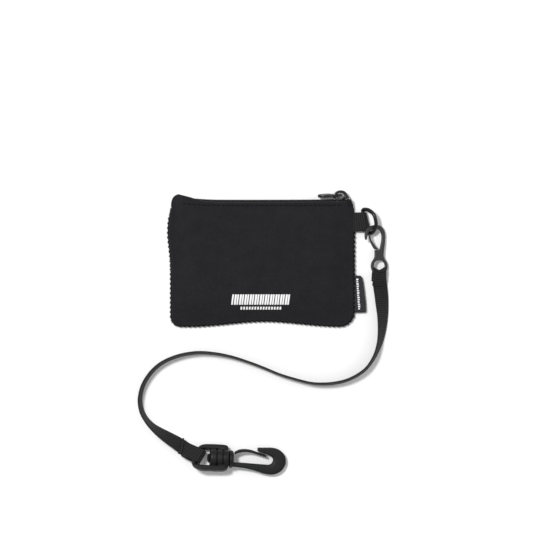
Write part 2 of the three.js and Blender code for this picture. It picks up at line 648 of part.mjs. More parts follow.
// ---------- swivel hook ----------
// The base and the clip lie along +X from the crossbar, which is at the origin.
function swivelBase() {
  const half = BASE_HALF_WIDTH;
  const outline = new THREE.Shape();
  outline.moveTo(BARREL_END, half - 3.2);
  outline.lineTo(BARREL_END - 1.8, half - 0.6);
  outline.lineTo(BARREL_END - 4, half);
  outline.lineTo(5.5, half);
  outline.bezierCurveTo(1.5, half, -CROSSBAR, half - 0.8, -CROSSBAR, BASE_WINDOW_HALF + 0.1);
  outline.lineTo(-CROSSBAR, -BASE_WINDOW_HALF - 0.1);
  outline.bezierCurveTo(-CROSSBAR, -half + 0.8, 1.5, -half, 5.5, -half);
  outline.lineTo(BARREL_END - 4, -half);
  outline.lineTo(BARREL_END - 1.8, -half + 0.6);
  outline.lineTo(BARREL_END, -half + 3.2);
  outline.closePath();
  const frame = plate(outline, BASE_THICK, 0.6);
  const window = plate(rounded(-4, -BASE_WINDOW_HALF, BARREL_START, BASE_WINDOW_HALF, 0.8), 12);
  const crossbar = bar(CROSSBAR, 2 * BASE_WINDOW_HALF + 1, 'y', [0, 0, 0]);
  const length = BARREL_END - BARREL_START;
  const middle = (BARREL_END + BARREL_START) / 2;
  const barrel = bar(BARREL, length, 'x', [middle, 0, 0], 28);
  const opened = carve([frame], [window]);
  const bore = bar(STEM + GAP, 40, 'x', [middle, 0, 0], 20);
  const grooves = BARREL_GROOVES.map((offset) => {
    const ring = new THREE.Shape().absarc(0, 0, BARREL + 2, 0, 2 * Math.PI, false);
    const core = new THREE.Path().absarc(0, 0, BARREL - GROOVE_DEPTH, 0, 2 * Math.PI, true);
    ring.holes.push(core);
    const cutter = plate(ring, GROOVE_WIDTH).rotateY(Math.PI / 2);
    return cutter.translate(BARREL_START + offset, 0, 0);
  });
  const rails = [-1, 1].map((side) => block(
    [0, Math.min(side * BASE_WINDOW_HALF, side * 20), -20],
    [BARREL_END + 3, Math.max(side * BASE_WINDOW_HALF, side * 20), 20],
  ));
  const grooved = carve([barrel], grooves);
  const housing = carve([grooved], rails);
  return carve([opened, crossbar, housing], [bore]);
}

const CLIP_START = BARREL_END + GAP; // back face of the collar

// The clip: a stem with a snap head that turns in the barrel, a collar, and the hook.
function swivelClip() {
  const head = new THREE.Shape();
  const root = CLIP_START + COLLAR_LENGTH - 0.3;
  head.moveTo(root, -4.9);
  head.lineTo(root + 8, -5.6);
  head.lineTo(root + 20, -8.3);
  head.bezierCurveTo(root + 31, -10.4, root + 35.6, -5.6, root + 35.6, -0.4);
  head.bezierCurveTo(root + 35.6, 5.2, root + 31, 8.7, root + 26.5, 8.7);
  head.lineTo(root + 16.4, 8.4);
  head.lineTo(root + 16.4, 5.9);
  head.lineTo(root + 23.6, 3.9);
  head.bezierCurveTo(root + 28.4, 2.7, root + 28.4, -2.6, root + 24, -2.7);
  head.lineTo(root, -1.9);
  head.closePath();
  const hook = plate(head, CLIP_THICK, 0.7);
  const collar = bar(COLLAR, COLLAR_LENGTH, 'x', [CLIP_START + COLLAR_LENGTH / 2, 0, 0], 28);
  const stem = bar(STEM, CLIP_START - BARREL_START + 2, 'x', [(CLIP_START + BARREL_START) / 2, 0, 0], 20);
  const snapHead = new THREE.CylinderGeometry(3.5, 2.2, 1.3, 20).rotateZ(Math.PI / 2);
  snapHead.translate(BARREL_START - GAP - 0.65, 0, 0);
  return carve([hook, collar, stem, snapHead]);
}

const CLIP_GATE_ROOT = [CLIP_START + COLLAR_LENGTH + GAP, 4.1];

// The leaf that closes the clip, arched, with its tip under the nose.
function swivelGate() {
  const [x, y] = CLIP_GATE_ROOT;
  const leaf = new THREE.Shape();
  leaf.moveTo(x, y - 0.8);
  leaf.quadraticCurveTo(x + 7, y + 2.0, x + 14, y + 0.5);
  leaf.lineTo(x + 21.5, y - 1.6);
  leaf.lineTo(x + 21.5, y - 1.6 + GATE_LEAF);
  leaf.lineTo(x + 14.2, y + 0.5 + GATE_LEAF);
  leaf.quadraticCurveTo(x + 7, y + 2.2 + GATE_LEAF, x, y + 0.8);
  leaf.closePath();
  return plate(leaf, CLIP_THICK - 1);
}

// ---------- assembly ----------
piece('back_panel', backPanel(), NEOPRENE);
piece('front_panel', frontPanel(), NEOPRENE);
piece('perimeter_seam', perimeterSeam(), THREADS);
piece('zipper_tape_back', zipTape(-1), WEBBING);
piece('zipper_tape_front', zipTape(1), WEBBING);
piece('coil_row_back', coilRow(-1), COIL);
piece('coil_row_front', coilRow(1), COIL);
piece('bottom_stop', bottomStop(), BLACK_METAL);
piece('top_stop_back', topStop(-1), BLACK_METAL);
piece('top_stop_front', topStop(1), BLACK_METAL);
piece('mouth_stitch', mouthStitch(), THREADS);
piece('webbing_tab', webbingTab(), WEBBING);
piece('side_label', sideLabel(), LABEL);
piece('slider_body', sliderBody(), BLACK_METAL);

const pull = piece('puller', puller(), BLACK_METAL);
pull.geometry.rotateX(degrees(PULLER_LEAN));
pull.position.set(PULL_HINGE[0], PULL_HINGE[1], MOUTH_MIDDLE);
pull.rotation.z = degrees(PULLER_DROOP);

const ring = piece('d_ring', dRing(), BLACK_METAL);
ring.geometry.rotateY(-degrees(RING_TILT));
ring.position.set(RING_X, TAB_Y, RING_Z);
ring.rotation.z = ringYaw;

const snapHook = new THREE.Group();
snapHook.position.set(...HOOK_AT);
snapHook.rotation.set(degrees(HOOK_PITCH), degrees(HOOK_ROLL), 0, 'YXZ');
group.add(snapHook);
piece('snap_hook_body', snapHookBody(), DARK_PLASTIC, snapHook);
piece('snap_hook_gate', snapHookGate(), DARK_PLASTIC, snapHook);

piece('strap_webbing', strapWebbing(), WEBBING);

const swivel = new THREE.Group();
swivel.position.set(...BASE_AT);
swivel.rotation.set(0, degrees(BASE_PITCH), degrees(BASE_HEADING), 'ZYX');
group.add(swivel);
const base = piece('swivel_base', swivelBase(), DARK_PLASTIC, swivel);
base.geometry.rotateX(degrees(BASE_ROLL));
piece('swivel_clip', swivelClip(), DARK_PLASTIC, swivel);
piece('swivel_gate', swivelGate(), DARK_PLASTIC, swivel);

export default group;
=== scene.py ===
"""The looks of a zippered neoprene pouch with a webbing lanyard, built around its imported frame.

Lengths inside the shapes are millimetres in the pouch's own frame, and every finished mesh is in metres.
"""

import bpy
import bmesh
import numpy as np
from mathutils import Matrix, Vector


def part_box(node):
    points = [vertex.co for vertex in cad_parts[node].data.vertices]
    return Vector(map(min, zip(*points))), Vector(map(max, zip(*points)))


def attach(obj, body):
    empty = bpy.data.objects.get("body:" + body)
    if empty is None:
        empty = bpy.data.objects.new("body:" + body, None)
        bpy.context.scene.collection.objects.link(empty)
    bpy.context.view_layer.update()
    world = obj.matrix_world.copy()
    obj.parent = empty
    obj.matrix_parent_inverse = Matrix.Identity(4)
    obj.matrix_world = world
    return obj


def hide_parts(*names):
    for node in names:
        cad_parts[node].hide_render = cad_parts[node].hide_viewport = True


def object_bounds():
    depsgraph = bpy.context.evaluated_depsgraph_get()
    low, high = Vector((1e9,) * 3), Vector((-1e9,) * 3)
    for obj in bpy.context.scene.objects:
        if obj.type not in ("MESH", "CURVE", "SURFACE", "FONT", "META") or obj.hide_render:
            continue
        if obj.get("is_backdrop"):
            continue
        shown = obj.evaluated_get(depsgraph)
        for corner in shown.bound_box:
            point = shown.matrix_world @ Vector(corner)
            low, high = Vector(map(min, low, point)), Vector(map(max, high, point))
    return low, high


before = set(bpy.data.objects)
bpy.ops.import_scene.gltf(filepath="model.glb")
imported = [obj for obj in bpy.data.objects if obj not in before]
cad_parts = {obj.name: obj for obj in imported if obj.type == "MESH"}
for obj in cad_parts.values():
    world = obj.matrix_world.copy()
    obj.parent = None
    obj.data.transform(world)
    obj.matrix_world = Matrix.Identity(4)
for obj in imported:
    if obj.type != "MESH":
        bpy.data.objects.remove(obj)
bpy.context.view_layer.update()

# ---------- camera, table and light ----------
# The pouch and its lanyard lie on a white table and are seen from straight above. A small soft lamp stands
# up and to the left, so the short shadows fall to the right and down; a weak one fills in from the right.
VIEW_MIDDLE = (0.0030, -0.0030)
VIEW_HEIGHT = 1.5
VIEW_WIDTH = 0.3555  # how much of the table the view takes in
SENSOR = 36.0

camera = bpy.data.objects.new("camera", bpy.data.cameras.new("camera"))
bpy.context.scene.collection.objects.link(camera)
camera.data.sensor_width = SENSOR
camera.data.lens = SENSOR * VIEW_HEIGHT / VIEW_WIDTH
camera.location = (*VIEW_MIDDLE, VIEW_HEIGHT)
bpy.context.scene.camera = camera
bpy.context.scene.view_settings.view_transform = "Standard"


def soft_lamp(name, place, aim, size, power):
    """A square lamp of the given side at place, turned to face aim."""
    lamp = bpy.data.objects.new(name, bpy.data.lights.new(name, "AREA"))
    bpy.context.scene.collection.objects.link(lamp)
    lamp.data.size = size
    lamp.data.energy = power
    lamp.location = place
    way = lamp.location - type(lamp.location)(aim)
    lamp.rotation_euler = way.to_track_quat("Z", "Y").to_euler()


LAMP_AIM = (0, -0.03, 0)
soft_lamp("key_lamp", (-0.42, 0.34, 1.24), LAMP_AIM, 0.20, 13.5)
soft_lamp("side_lamp", (0.9, 0.35, 0.5), LAMP_AIM, 0.5, 1.2)
world = bpy.data.worlds.new("studio")
bpy.context.scene.world = world
world.use_nodes = True
world.node_tree.nodes["Background"].inputs["Color"].default_value = (1, 1, 1, 1)
world.node_tree.nodes["Background"].inputs["Strength"].default_value = 0.55

table_mesh = bpy.data.meshes.new("table")
table_mesh.from_pydata([(-3, -3, 0), (3, -3, 0), (3, 3, 0), (-3, 3, 0)], [], [(0, 1, 2, 3)])
table = bpy.data.objects.new("table", table_mesh)
bpy.context.scene.collection.objects.link(table)
table.location.z = -0.0002
table_paint = bpy.data.materials.new("table_paint")
table_paint.use_nodes = True
table_sockets = table_paint.node_tree.nodes["Principled BSDF"].inputs
table_sockets["Base Color"].default_value = (0.93, 0.93, 0.93, 1)
table_sockets["Roughness"].default_value = 0.9
table_sockets["Specular IOR Level"].default_value = 0.1
table_mesh.materials.append(table_paint)
table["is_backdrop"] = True

# ---------- strap ----------
# A length of 10 mm black ribbed webbing. It lies flat under the snap hook, turns up on edge along the table,
# and turns flat again to reach the swivel hook.
MM = 0.001
STRAP_WIDTH = 10.0
STRAP_THICK = 1.3
RIB_PITCH = 1.45  # of the weave, along the strap
CORD_PITCH = 1.35  # of the weave, across it
RIB_RELIEF = 0.13  # how far the knuckles rise and fall in the mesh
# The weave's colour carries painted shade: the crowns keep the cloth's colour, and the much darker valley
# colour between them is painted shade.
KNUCKLE_POWER = 2.2  # how narrow the light crowns of the weave are in its colour
STRAP_COLOUR = (0.046, 0.046, 0.045, 1)
STRAP_VALLEY_SHADE = (0.002, 0.002, 0.002, 1)
# x, y, lean in degrees from flat to on edge, and lift above the table
STRAP_ROUTE = np.array([
    (78.1, -10.5, -19.8, 0), (78.6, -15.3, -20, 0), (79.4, -22, -25, 0), (79.9, -28.7, -33, 0),
    (80.2, -35.3, -44, 0), (80.0, -42, -53, 0), (79.3, -48.7, -62, 0), (77.9, -55, -70, 0),
    (75.0, -62.5, -77, 0), (70.2, -69.8, -80, 0), (64.5, -74.6, -80, 0), (57, -78.4, -80, 0),
    (48.7, -80.5, -80, 0), (40, -81.1, -81, 0), (32, -80.5, -82, 0), (22, -78, -83, 0),
    (11.3, -74.7, -83, 0), (0.7, -70.3, -83, 0), (-10, -66.3, -83, 0), (-20.7, -63, -82, 0),
    (-31.3, -61, -81, 0), (-42, -60.3, -80, 0), (-52.7, -61.7, -80, 0), (-62, -64.8, -80, 0),
    (-68.7, -68.7, -80, 0), (-74.3, -74.2, -80, 0), (-78.8, -81.5, -80, 0), (-80.8, -88.5, -80, 0),
    (-81, -94, -80, 0), (-79.6, -100, -79, 0), (-76.6, -105.2, -77, 0), (-72.4, -109.8, -70, 0),
    (-67.4, -113.6, -58, 0.2), (-61.6, -117.3, -45, 0.8), (-56, -120.8, -34, 1.7), (-50.5, -124.5, -26, 2.9),
])


def smooth(points, count, closed=False):
    """A Catmull-Rom curve through points, as count places evenly spaced in its parameter."""
    points = np.asarray(points, float)
    spans = len(points) if closed else len(points) - 1
    t = np.linspace(0, spans, count, endpoint=not closed)
    k = np.minimum(t.astype(int), spans - 1)
    f = (t - k)[:, None]
    if closed:
        a, b, c, d = (points[(k + shift) % len(points)] for shift in (-1, 0, 1, 2))
    else:
        a, b, c, d = (points[np.clip(k + shift, 0, len(points) - 1)] for shift in (-1, 0, 1, 2))
    return 0.5 * (2 * b + (c - a) * f + (2 * a - 5 * b + 4 * c - d) * f**2 + (3 * b - a - 3 * c + d) * f**3)


def evenly(curve, count):
    """The same curve as count places at equal distances along it."""
    steps = np.linalg.norm(np.diff(curve[:, :3], axis=0), axis=1)
    along = np.concatenate([[0], np.cumsum(steps)])
    wanted = np.linspace(0, along[-1], count)
    return np.stack([np.interp(wanted, along, column) for column in curve.T], 1)


def unit(vectors):
    """Each vector divided by its length."""
    return vectors / np.maximum(np.linalg.norm(vectors, axis=-1, keepdims=True), 1e-12)


def oval(count, squareness=2.0):
    """A superellipse of radius 1: cosine and sine, each to the power 2 / squareness with its sign kept."""
    angle = np.linspace(0, 2 * np.pi, count, endpoint=False)
    c, s = np.cos(angle), np.sin(angle)
    return np.stack([np.sign(c) * abs(c) ** (2 / squareness), np.sign(s) * abs(s) ** (2 / squareness)], 1)


def skin(name, rings, loop=False, cloth=None):
    """A closed mesh over rings of points, in millimetres.

    rings is (rings, points, 3), or (copies, rings, points, 3) for copies of a shape. Four-sided faces join
    each ring to the next; with loop the last joins the first, and without it each end closes on its middle.
    cloth, of the same form with two columns, is kept as the attribute that a woven finish follows.
    """
    rings = np.asarray(rings, float)
    rings = rings if rings.ndim == 4 else rings[None]
    copies, n, m, _ = rings.shape
    index = np.arange(copies * n * m).reshape(copies, n, m)
    a = index if loop else index[:, :-1]
    b = np.roll(index, -1, 1) if loop else index[:, 1:]
    quads = np.stack([a, np.roll(a, -1, 2), np.roll(b, -1, 2), b], -1).reshape(-1, 4)
    points = rings.reshape(-1, 3)
    corners = [quads.ravel()]
    sizes = [np.full(len(quads), 4)]
    if not loop:
        ends = rings[:, [0, -1]].mean(2).reshape(-1, 3)
        middle = len(points) + np.arange(2 * copies).reshape(copies, 2)
        points = np.concatenate([points, ends])
        first, last = index[:, 0], index[:, -1]
        fan_a = np.stack([np.broadcast_to(middle[:, :1], first.shape), np.roll(first, -1, 1), first], -1)
        fan_b = np.stack([np.broadcast_to(middle[:, 1:], last.shape), last, np.roll(last, -1, 1)], -1)
        fans = np.concatenate([fan_a, fan_b]).reshape(-1, 3)
        corners.append(fans.ravel())
        sizes.append(np.full(len(fans), 3))
    sizes = np.concatenate(sizes)
    corners = np.concatenate(corners)
    mesh = bpy.data.meshes.new(name)
    mesh.vertices.add(len(points))
    mesh.vertices.foreach_set("co", (points * MM).astype(np.float32).ravel())
    mesh.loops.add(len(corners))
    mesh.loops.foreach_set("vertex_index", corners.astype(np.int32))
    mesh.polygons.add(len(sizes))
    mesh.polygons.foreach_set("loop_start", (np.cumsum(sizes) - sizes).astype(np.int32))
    mesh.update(calc_edges=True)
    mesh.validate()
    if cloth is not None:
        flat = np.asarray(cloth, float).reshape(-1, 2)
        spare = len(points) - len(flat)
        flat = np.concatenate([flat, np.repeat(flat[:1], spare, 0)])
        values = np.concatenate([flat, np.zeros((len(flat), 1))], 1)
        mesh.attributes.new("cloth", "FLOAT_VECTOR", "POINT")
        mesh.attributes["cloth"].data.foreach_set("vector", values.astype(np.float32).ravel())
    solid = bmesh.new()
    solid.from_mesh(mesh)
    bmesh.ops.recalc_face_normals(solid, faces=solid.faces)
    solid.to_mesh(mesh)
    solid.free()
    mesh.shade_smooth()
    obj = bpy.data.objects.new(name, mesh)
    bpy.context.scene.collection.objects.link(obj)
    return obj


def settle(obj, body, slot, finish, *nodes):
    """Gives a finished piece its material and its body, and hides any nodes that it stands for. The slot is
    not used.
    """
    obj.data.materials.clear()
    obj.data.materials.append(finish)
    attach(obj, body)
    if nodes:
        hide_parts(*nodes)


class Finish:
    """A material whose shader has fixed values, with helpers that add the nodes of its pattern."""

    def __init__(self, name, colour, roughness, metal=0.0, specular=0.5, sheen=0.0, coat=0.0):
        self.material = bpy.data.materials.new(name)
        self.material.use_nodes = True
        self.tree = self.material.node_tree
        self.shader = self.tree.nodes["Principled BSDF"]
        for socket, value in (
            ("Base Color", colour), ("Roughness", roughness), ("Metallic", metal),
            ("Specular IOR Level", specular), ("Sheen Weight", sheen), ("Sheen Roughness", 0.5),
            ("Coat Weight", coat), ("Coat Roughness", 0.2),
        ):
            self.shader.inputs[socket].default_value = value

    def node(self, kind, links=(), **values):
        """A node of that kind: values set its properties, and links feed its sockets."""
        made = self.tree.nodes.new(kind)
        for key, value in values.items():
            setattr(made, key, value)
        for socket, source in dict(links).items():
            if isinstance(source, bpy.types.NodeSocket):
                self.tree.links.new(source, made.inputs[socket])
            else:
                made.inputs[socket].default_value = source
        return made

    def place(self):
        """The Object coordinates."""
        return self.node("ShaderNodeTexCoord").outputs["Object"]

    def noise(self, size, detail=3.0, place=None):
        """Noise whose grains are about size millimetres."""
        links = {"Vector": self.place() if place is None else place, "Scale": 1000.0 / size}
        links.update({"Detail": detail, "Roughness": 0.55})
        return self.node("ShaderNodeTexNoise", links).outputs["Fac"]

    def math(self, operation, a, b=0.0):
        """One arithmetic step."""
        return self.node("ShaderNodeMath", {0: a, 1: b}, operation=operation).outputs[0]

    def ramp(self, value, low, high, start=0.0, end=1.0):
        """Runs evenly from low, where value is start, to high, where it is end."""
        links = {"Value": value, "From Min": start, "From Max": end, "To Min": low, "To Max": high}
        return self.node("ShaderNodeMapRange", links).outputs["Result"]

    def colour(self, share, first, second):
        """Sets the base colour between two."""
        mixed = self.node("ShaderNodeMix", {0: share, 6: first, 7: second}, data_type="RGBA")
        self.tree.links.new(mixed.outputs[2], self.shader.inputs["Base Color"])

    def rough(self, value):
        """Sets the roughness from a node."""
        self.tree.links.new(value, self.shader.inputs["Roughness"])

    def bump(self, height, depth):
        """Raises the surface by depth millimetres where height is 1."""
        raised = self.node("ShaderNodeBump", {"Height": height, "Distance": depth * MM, "Strength": 1.0})
        self.tree.links.new(raised.outputs["Normal"], self.shader.inputs["Normal"])


def woven(name, colour, valley, along, across, relief):
    """A ribbed webbing finish: the product of two rectified sines, one along the cloth and one across it,
    paints shade into the colour, down to valley between the weave's crowns.
    """
    cloth = Finish(name, colour, 0.85, specular=0.22, sheen=0.05)
    flat = cloth.node("ShaderNodeAttribute", attribute_name="cloth").outputs["Vector"]
    parts = cloth.node("ShaderNodeSeparateXYZ", {"Vector": flat})
    waves = [
        cloth.math("ABSOLUTE", cloth.math("SINE", cloth.math("MULTIPLY", parts.outputs[axis], np.pi / pitch)))
        for axis, pitch in ((0, along), (1, across))
    ]
    knuckle = cloth.math("POWER", cloth.math("MULTIPLY", *waves), KNUCKLE_POWER)
    fibre = cloth.noise(0.18, 4)
    # painted shade: the colour falls from the cloth's own colour on the crowns to the valley colour between
    # them
    painted_weave_shade = cloth.math("MULTIPLY", knuckle, cloth.ramp(fibre, 0.45, 1.35))
    cloth.colour(painted_weave_shade, valley, colour)
    cloth.rough(cloth.ramp(fibre, 0.62, 0.95))
    height = cloth.math("ADD", knuckle, cloth.math("MULTIPLY", fibre, 0.35))
    cloth.bump(height, relief)
    return cloth.material


def webbing_face(along, side, through):
    """How far a webbing's face stands from its middle: half its thickness, with a knuckle at each crossing.

    A knuckle is the product of two rectified sines, one along the webbing and one across it, to the power
    0.6. It fades towards the selvedges, where through, the place in the section from -1 to 1, is 0.
    """
    knuckle = (abs(np.sin(np.pi * along / RIB_PITCH)) * abs(np.sin(np.pi * side / CORD_PITCH))) ** 0.6
    half = STRAP_THICK / 2
    return half * through * (1 + RIB_RELIEF / half * (knuckle - 0.6) * abs(through))


def band_skin(name, line, width, face, half_width, around=44):
    """Webbing carried along a line, with a flat superellipse for its section.

    line is (n, 3), and width and face are the unit directions across and out of the webbing.
    """
    across, through = oval(around, 5.0).T
    steps = np.linalg.norm(np.diff(line, axis=0), axis=1)
    along = np.concatenate([[0], np.cumsum(steps)])[:, None]
    side = half_width * across[None]
    thick = webbing_face(along, side, through[None])
    side = side * (1 + 0.012 * abs(np.sin(np.pi * along / RIB_PITCH)))
    rings = line[:, None] + width[:, None] * side[..., None] + face[:, None] * thick[..., None]
    return skin(name, rings, cloth=np.stack(np.broadcast_arrays(along, side), -1))


webbing = woven("black_webbing", STRAP_COLOUR, STRAP_VALLEY_SHADE, RIB_PITCH, CORD_PITCH, 0.10)

lean = np.radians(STRAP_ROUTE[:, 2])
seat = STRAP_WIDTH / 2 * abs(np.sin(lean)) + STRAP_THICK / 2 * np.cos(lean) + 0.05
route = np.column_stack([STRAP_ROUTE[:, :2], seat + STRAP_ROUTE[:, 3], STRAP_ROUTE[:, 2]])
strap_line = evenly(smooth(route, 4000), 1100)
way = unit(np.gradient(strap_line[:, :3], axis=0))
left = unit(np.cross([0, 0, 1], way))
above = np.cross(way, left)
tilt = np.radians(strap_line[:, 3:])
strap_across = np.cos(tilt) * left + np.sin(tilt) * above
strap_face = np.cos(tilt) * above - np.sin(tilt) * left
strap = band_skin("strap", strap_line[:, :3], strap_across, strap_face, STRAP_WIDTH / 2)
settle(strap, "lanyard", "webbing", webbing, "strap_webbing")

# ---------- strap ends ----------
# Each end of the strap is doubled round a bar and sewn down through both layers. At the snap hook the fold
# follows the curve of the eye; at the swivel hook it comes in at a slant.
def fold_line(radius, below, lap, drop_below, drop_lap, count):
    """The side view of a doubled end: along the lower layer to the bar, half round it, and back on top.

    The first column is along the strap, 0 at the bar and negative before it; the second is its height.
    """
    angle = np.linspace(-np.pi / 2, np.pi / 2, 9)
    turn = np.stack([radius * np.cos(angle), radius * np.sin(angle)], 1)
    lower = [(-below, drop_below), (-below * 0.5, (drop_below - radius) / 2)]
    upper = [(-lap * 0.5, radius * 0.55 + drop_lap * 0.45), (-lap, drop_lap)]
    return evenly(smooth(np.concatenate([lower, turn, upper]), 400), count)


def fold_skin(name, middle, way, across, profile, half_width, skew):
    """Webbing bent round a bar: the side view carried across the strap's width.

    skew(side, along) moves each place along the strap, so that the fold follows a curved or slanting bar.
    """
    out = np.cross(way, across)
    steps = np.gradient(profile, axis=0)
    normal = unit(np.stack([-steps[:, 1], steps[:, 0]], 1))
    across_at, through = oval(40, 5.0).T
    along = np.concatenate([[0], np.cumsum(np.linalg.norm(np.diff(profile, axis=0), axis=1))])[:, None]
    side = np.broadcast_to(half_width, len(profile))[:, None] * across_at[None]
    lift = webbing_face(along, side, through[None])
    forward = profile[:, :1] + normal[:, :1] * lift + skew(side, profile[:, :1])
    height = profile[:, 1:] + normal[:, 1:] * lift
    rings = middle + forward[..., None] * way + side[..., None] * across + height[..., None] * out
    return skin(name, rings, cloth=np.stack(np.broadcast_arrays(along, side), -1))


def tack(name, starts, ends, lift, radius, sides=6, count=9):
    """Stitches: round threads that rise out of the cloth at starts, bow over by lift and go in at ends.

    The bow is one arch of a sine; the thread's own radius shrinks to nothing at both ends.
    """
    starts, ends, lift = (np.asarray(v, float).reshape(-1, 3) for v in (starts, ends, lift))
    t = np.linspace(0, 1, count)
    line = starts[:, None] + (ends - starts)[:, None] * t[None, :, None]
    line = line + lift[:, None] * np.sin(np.pi * t)[None, :, None]
    along = unit(np.gradient(line, axis=1))
    side = unit(np.cross(along, lift[:, None]))
    up = np.cross(side, along)
    size = radius * np.sin(np.pi * np.clip(t, 0.02, 0.98)) ** 0.35
    turn = oval(sides)
    rings = line[:, :, None] + size[None, :, None, None] * (
        side[:, :, None] * turn[None, None, :, :1] + up[:, :, None] * turn[None, None, :, 1:]
    )
    return skin(name, rings)


def turned(pitch=0.0, roll=0.0, heading=0.0, order="ZYX"):
    """The turn about X by pitch, Y by roll and Z by heading, in degrees, the last letter of order first."""
    a, b, c = np.radians([pitch, roll, heading])
    about = {
        "X": np.array([[1, 0, 0], [0, np.cos(a), -np.sin(a)], [0, np.sin(a), np.cos(a)]]),
        "Y": np.array([[np.cos(b), 0, np.sin(b)], [0, 1, 0], [-np.sin(b), 0, np.cos(b)]]),
        "Z": np.array([[np.cos(c), -np.sin(c), 0], [np.sin(c), np.cos(c), 0], [0, 0, 1]]),
    }
    return about[order[0]] @ about[order[1]] @ about[order[2]]


thread = Finish("black_thread", (0.0035, 0.0035, 0.0038, 1), 0.75, specular=0.2)
thread.bump(thread.noise(0.12, 2), 0.04)

HOOK_AT = np.array([78, -7.6, 4.0])  # middle of the snap hook's eye bar
HOOK_TURN = turned(pitch=-1.4, roll=19.8, order="YXZ")
FOLD_GAP = 0.3
EYE_BAR = 1.05
EYE_RISE = 2.4  # how far the fold's two sides ride up the round eye

near_profile = fold_line(EYE_BAR + FOLD_GAP + STRAP_THICK / 2, 5.5, 7.9, -1.75, -0.42, 120)
near_width = 4.25 + 0.65 * np.clip(-near_profile[:, 0] / 5, 0, 1)
near_fold = fold_skin(
    "strap_fold_near", HOOK_AT, HOOK_TURN @ [0, 1, 0], HOOK_TURN @ [-1, 0, 0], near_profile, near_width,
    lambda side, along: EYE_RISE * (abs(side) / 4.3) ** 1.5 * np.clip(1 + along / 7, 0, 1) - 0.1 * EYE_RISE,
)
settle(near_fold, "lanyard", "webbing", webbing)

BASE_AT = np.array([-45.2, -129.7, 8.6])  # middle of the swivel base's crossbar
CROSSBAR = 1.5
far_way = unit(np.array([0.883, -0.469, 0.0]))
far_lean = np.radians(-26)
far_left = np.cross([0, 0, 1], far_way)
far_across = np.cos(far_lean) * far_left + np.sin(far_lean) * np.array([0, 0, 1])
far_middle = BASE_AT + np.array([0.3, 2.3, -1.2])
far_profile = fold_line(CROSSBAR + FOLD_GAP + STRAP_THICK / 2, 7.0, 9.6, -2.3, -0.85, 130)
far_profile[:, 0] += 3.4 * np.clip(1 + far_profile[:, 0] / 6, 0, 1)
far_fold = fold_skin(
    "strap_fold_far", far_middle, far_way, far_across, far_profile, STRAP_WIDTH / 2 - 0.15,
    lambda side, along: 0.06 * side,
)
settle(far_fold, "lanyard", "webbing", webbing)

# a row of stitches across each end, close together, through both layers
TACKS = 12
TACK_LENGTH = 0.55


def tack_row(name, seat, across, out, reach):
    """Stitches side by side across the strap, centred on seat and as far as reach to each side."""
    starts = seat + np.outer(np.linspace(-reach, reach, TACKS) - 0.3, across)
    return tack(name, starts, starts + across * TACK_LENGTH, np.outer(np.ones(TACKS), out * 0.2), 0.17)


near_seat = HOOK_AT + HOOK_TURN @ [0, -6.9, 0.55]
near_tacks = tack_row("strap_stitch_near", near_seat, HOOK_TURN @ [1, 0, 0], HOOK_TURN @ [0, 0, 1], 4.3)
settle(near_tacks, "lanyard", "thread", thread.material)
far_out = np.cross(far_way, far_across)
far_seat = far_middle + (far_way * -8.7 + far_out * -0.02)
far_tacks = tack_row("strap_stitch_far", far_seat, far_across, far_out, 4.4)
settle(far_tacks, "lanyard", "thread", thread.material)

# The lap's cut end is turned under, which leaves a ridge that stands out past the upper selvedge. Its height
# is a parabola fitted to the highest places of the lap beneath it.
RIDGE_PLACES = 40
ridge_flat = np.linspace((-52.3, -117.1), (-53.8, -127.0), RIDGE_PLACES)
lap_skin = np.array([vertex.co[:] for vertex in far_fold.data.vertices]) / MM
lap_top = np.array([
    lap_skin[np.linalg.norm(lap_skin[:, :2] - spot, axis=1) < 1.6, 2].max(initial=4.0) for spot in ridge_flat
])
ridge_count = np.arange(RIDGE_PLACES)
ridge_height = np.polyval(np.polyfit(ridge_count[4:], lap_top[4:], 2), ridge_count) - 0.1
ridge_section = oval(16) * [0.8, 0.55]
ridge_size = (1 - np.linspace(-1, 1, RIDGE_PLACES) ** 8)[:, None, None] * 0.45 + 0.55
ridge_across, ridge_up = np.array([0.98, -0.15, 0]), np.array([0, 0, 1.0])
ridge_round = ridge_section[None, :, :1] * ridge_across + ridge_section[None, :, 1:] * ridge_up
ridge_line = np.column_stack([ridge_flat, ridge_height])
ridge_along = np.linspace(0, 9, RIDGE_PLACES)[:, None]
ridge = skin(
    "strap_ridge_far", ridge_line[:, None] + ridge_size * ridge_round,
    cloth=np.stack(np.broadcast_arrays(ridge_along, ridge_section[None, :, 0] + 0.67), -1),
)
settle(ridge, "lanyard", "webbing", webbing)

# ---------- pouch panels ----------
# Two panels of 2 mm neoprene faced with matte knit, sewn together round three sides with their edges turned
# in. The front one stands up over the hollow and falls away to the seam; both are folded in at the mouth.
PANEL_LEFT, PANEL_RIGHT, PANEL_BOTTOM, PANEL_TOP = -60.2, 60.9, -42.3, 39.6
PANEL_THICK = 2.0
PANEL_GAP = 0.3
CORNER_RADII = {(-1, -1): 6.0, (1, -1): 9.0, (-1, 1): 5.5, (1, 1): 3.0}
BOTTOM_RISE = 3.4  # how far the middle of the lower edge is drawn up
LEFT_BULGE = 1.9
CORNER_LIFT = 3.6  # how far the left end of the mouth stands up
CROWN = 5.1
CROWN_RUN = 19.0
MOUTH_RUN = 10.0
SCALLOP = 3.1  # pitch of the seam's stitches
SCALLOP_DEPTH = 0.5
NEOPRENE_DARK, NEOPRENE_LIGHT = (0.0062, 0.0062, 0.0070, 1), (0.0165, 0.0160, 0.0196, 1)
EDGE_PLACES = 900
STITCH_LINE = 37.3  # of the topstitching, in Y
STITCH_PITCH = 3.2


def eased(value):
    """A smooth step from 0 to 1."""
    value = np.clip(value, 0, 1)
    return value * value * (3 - 2 * value)


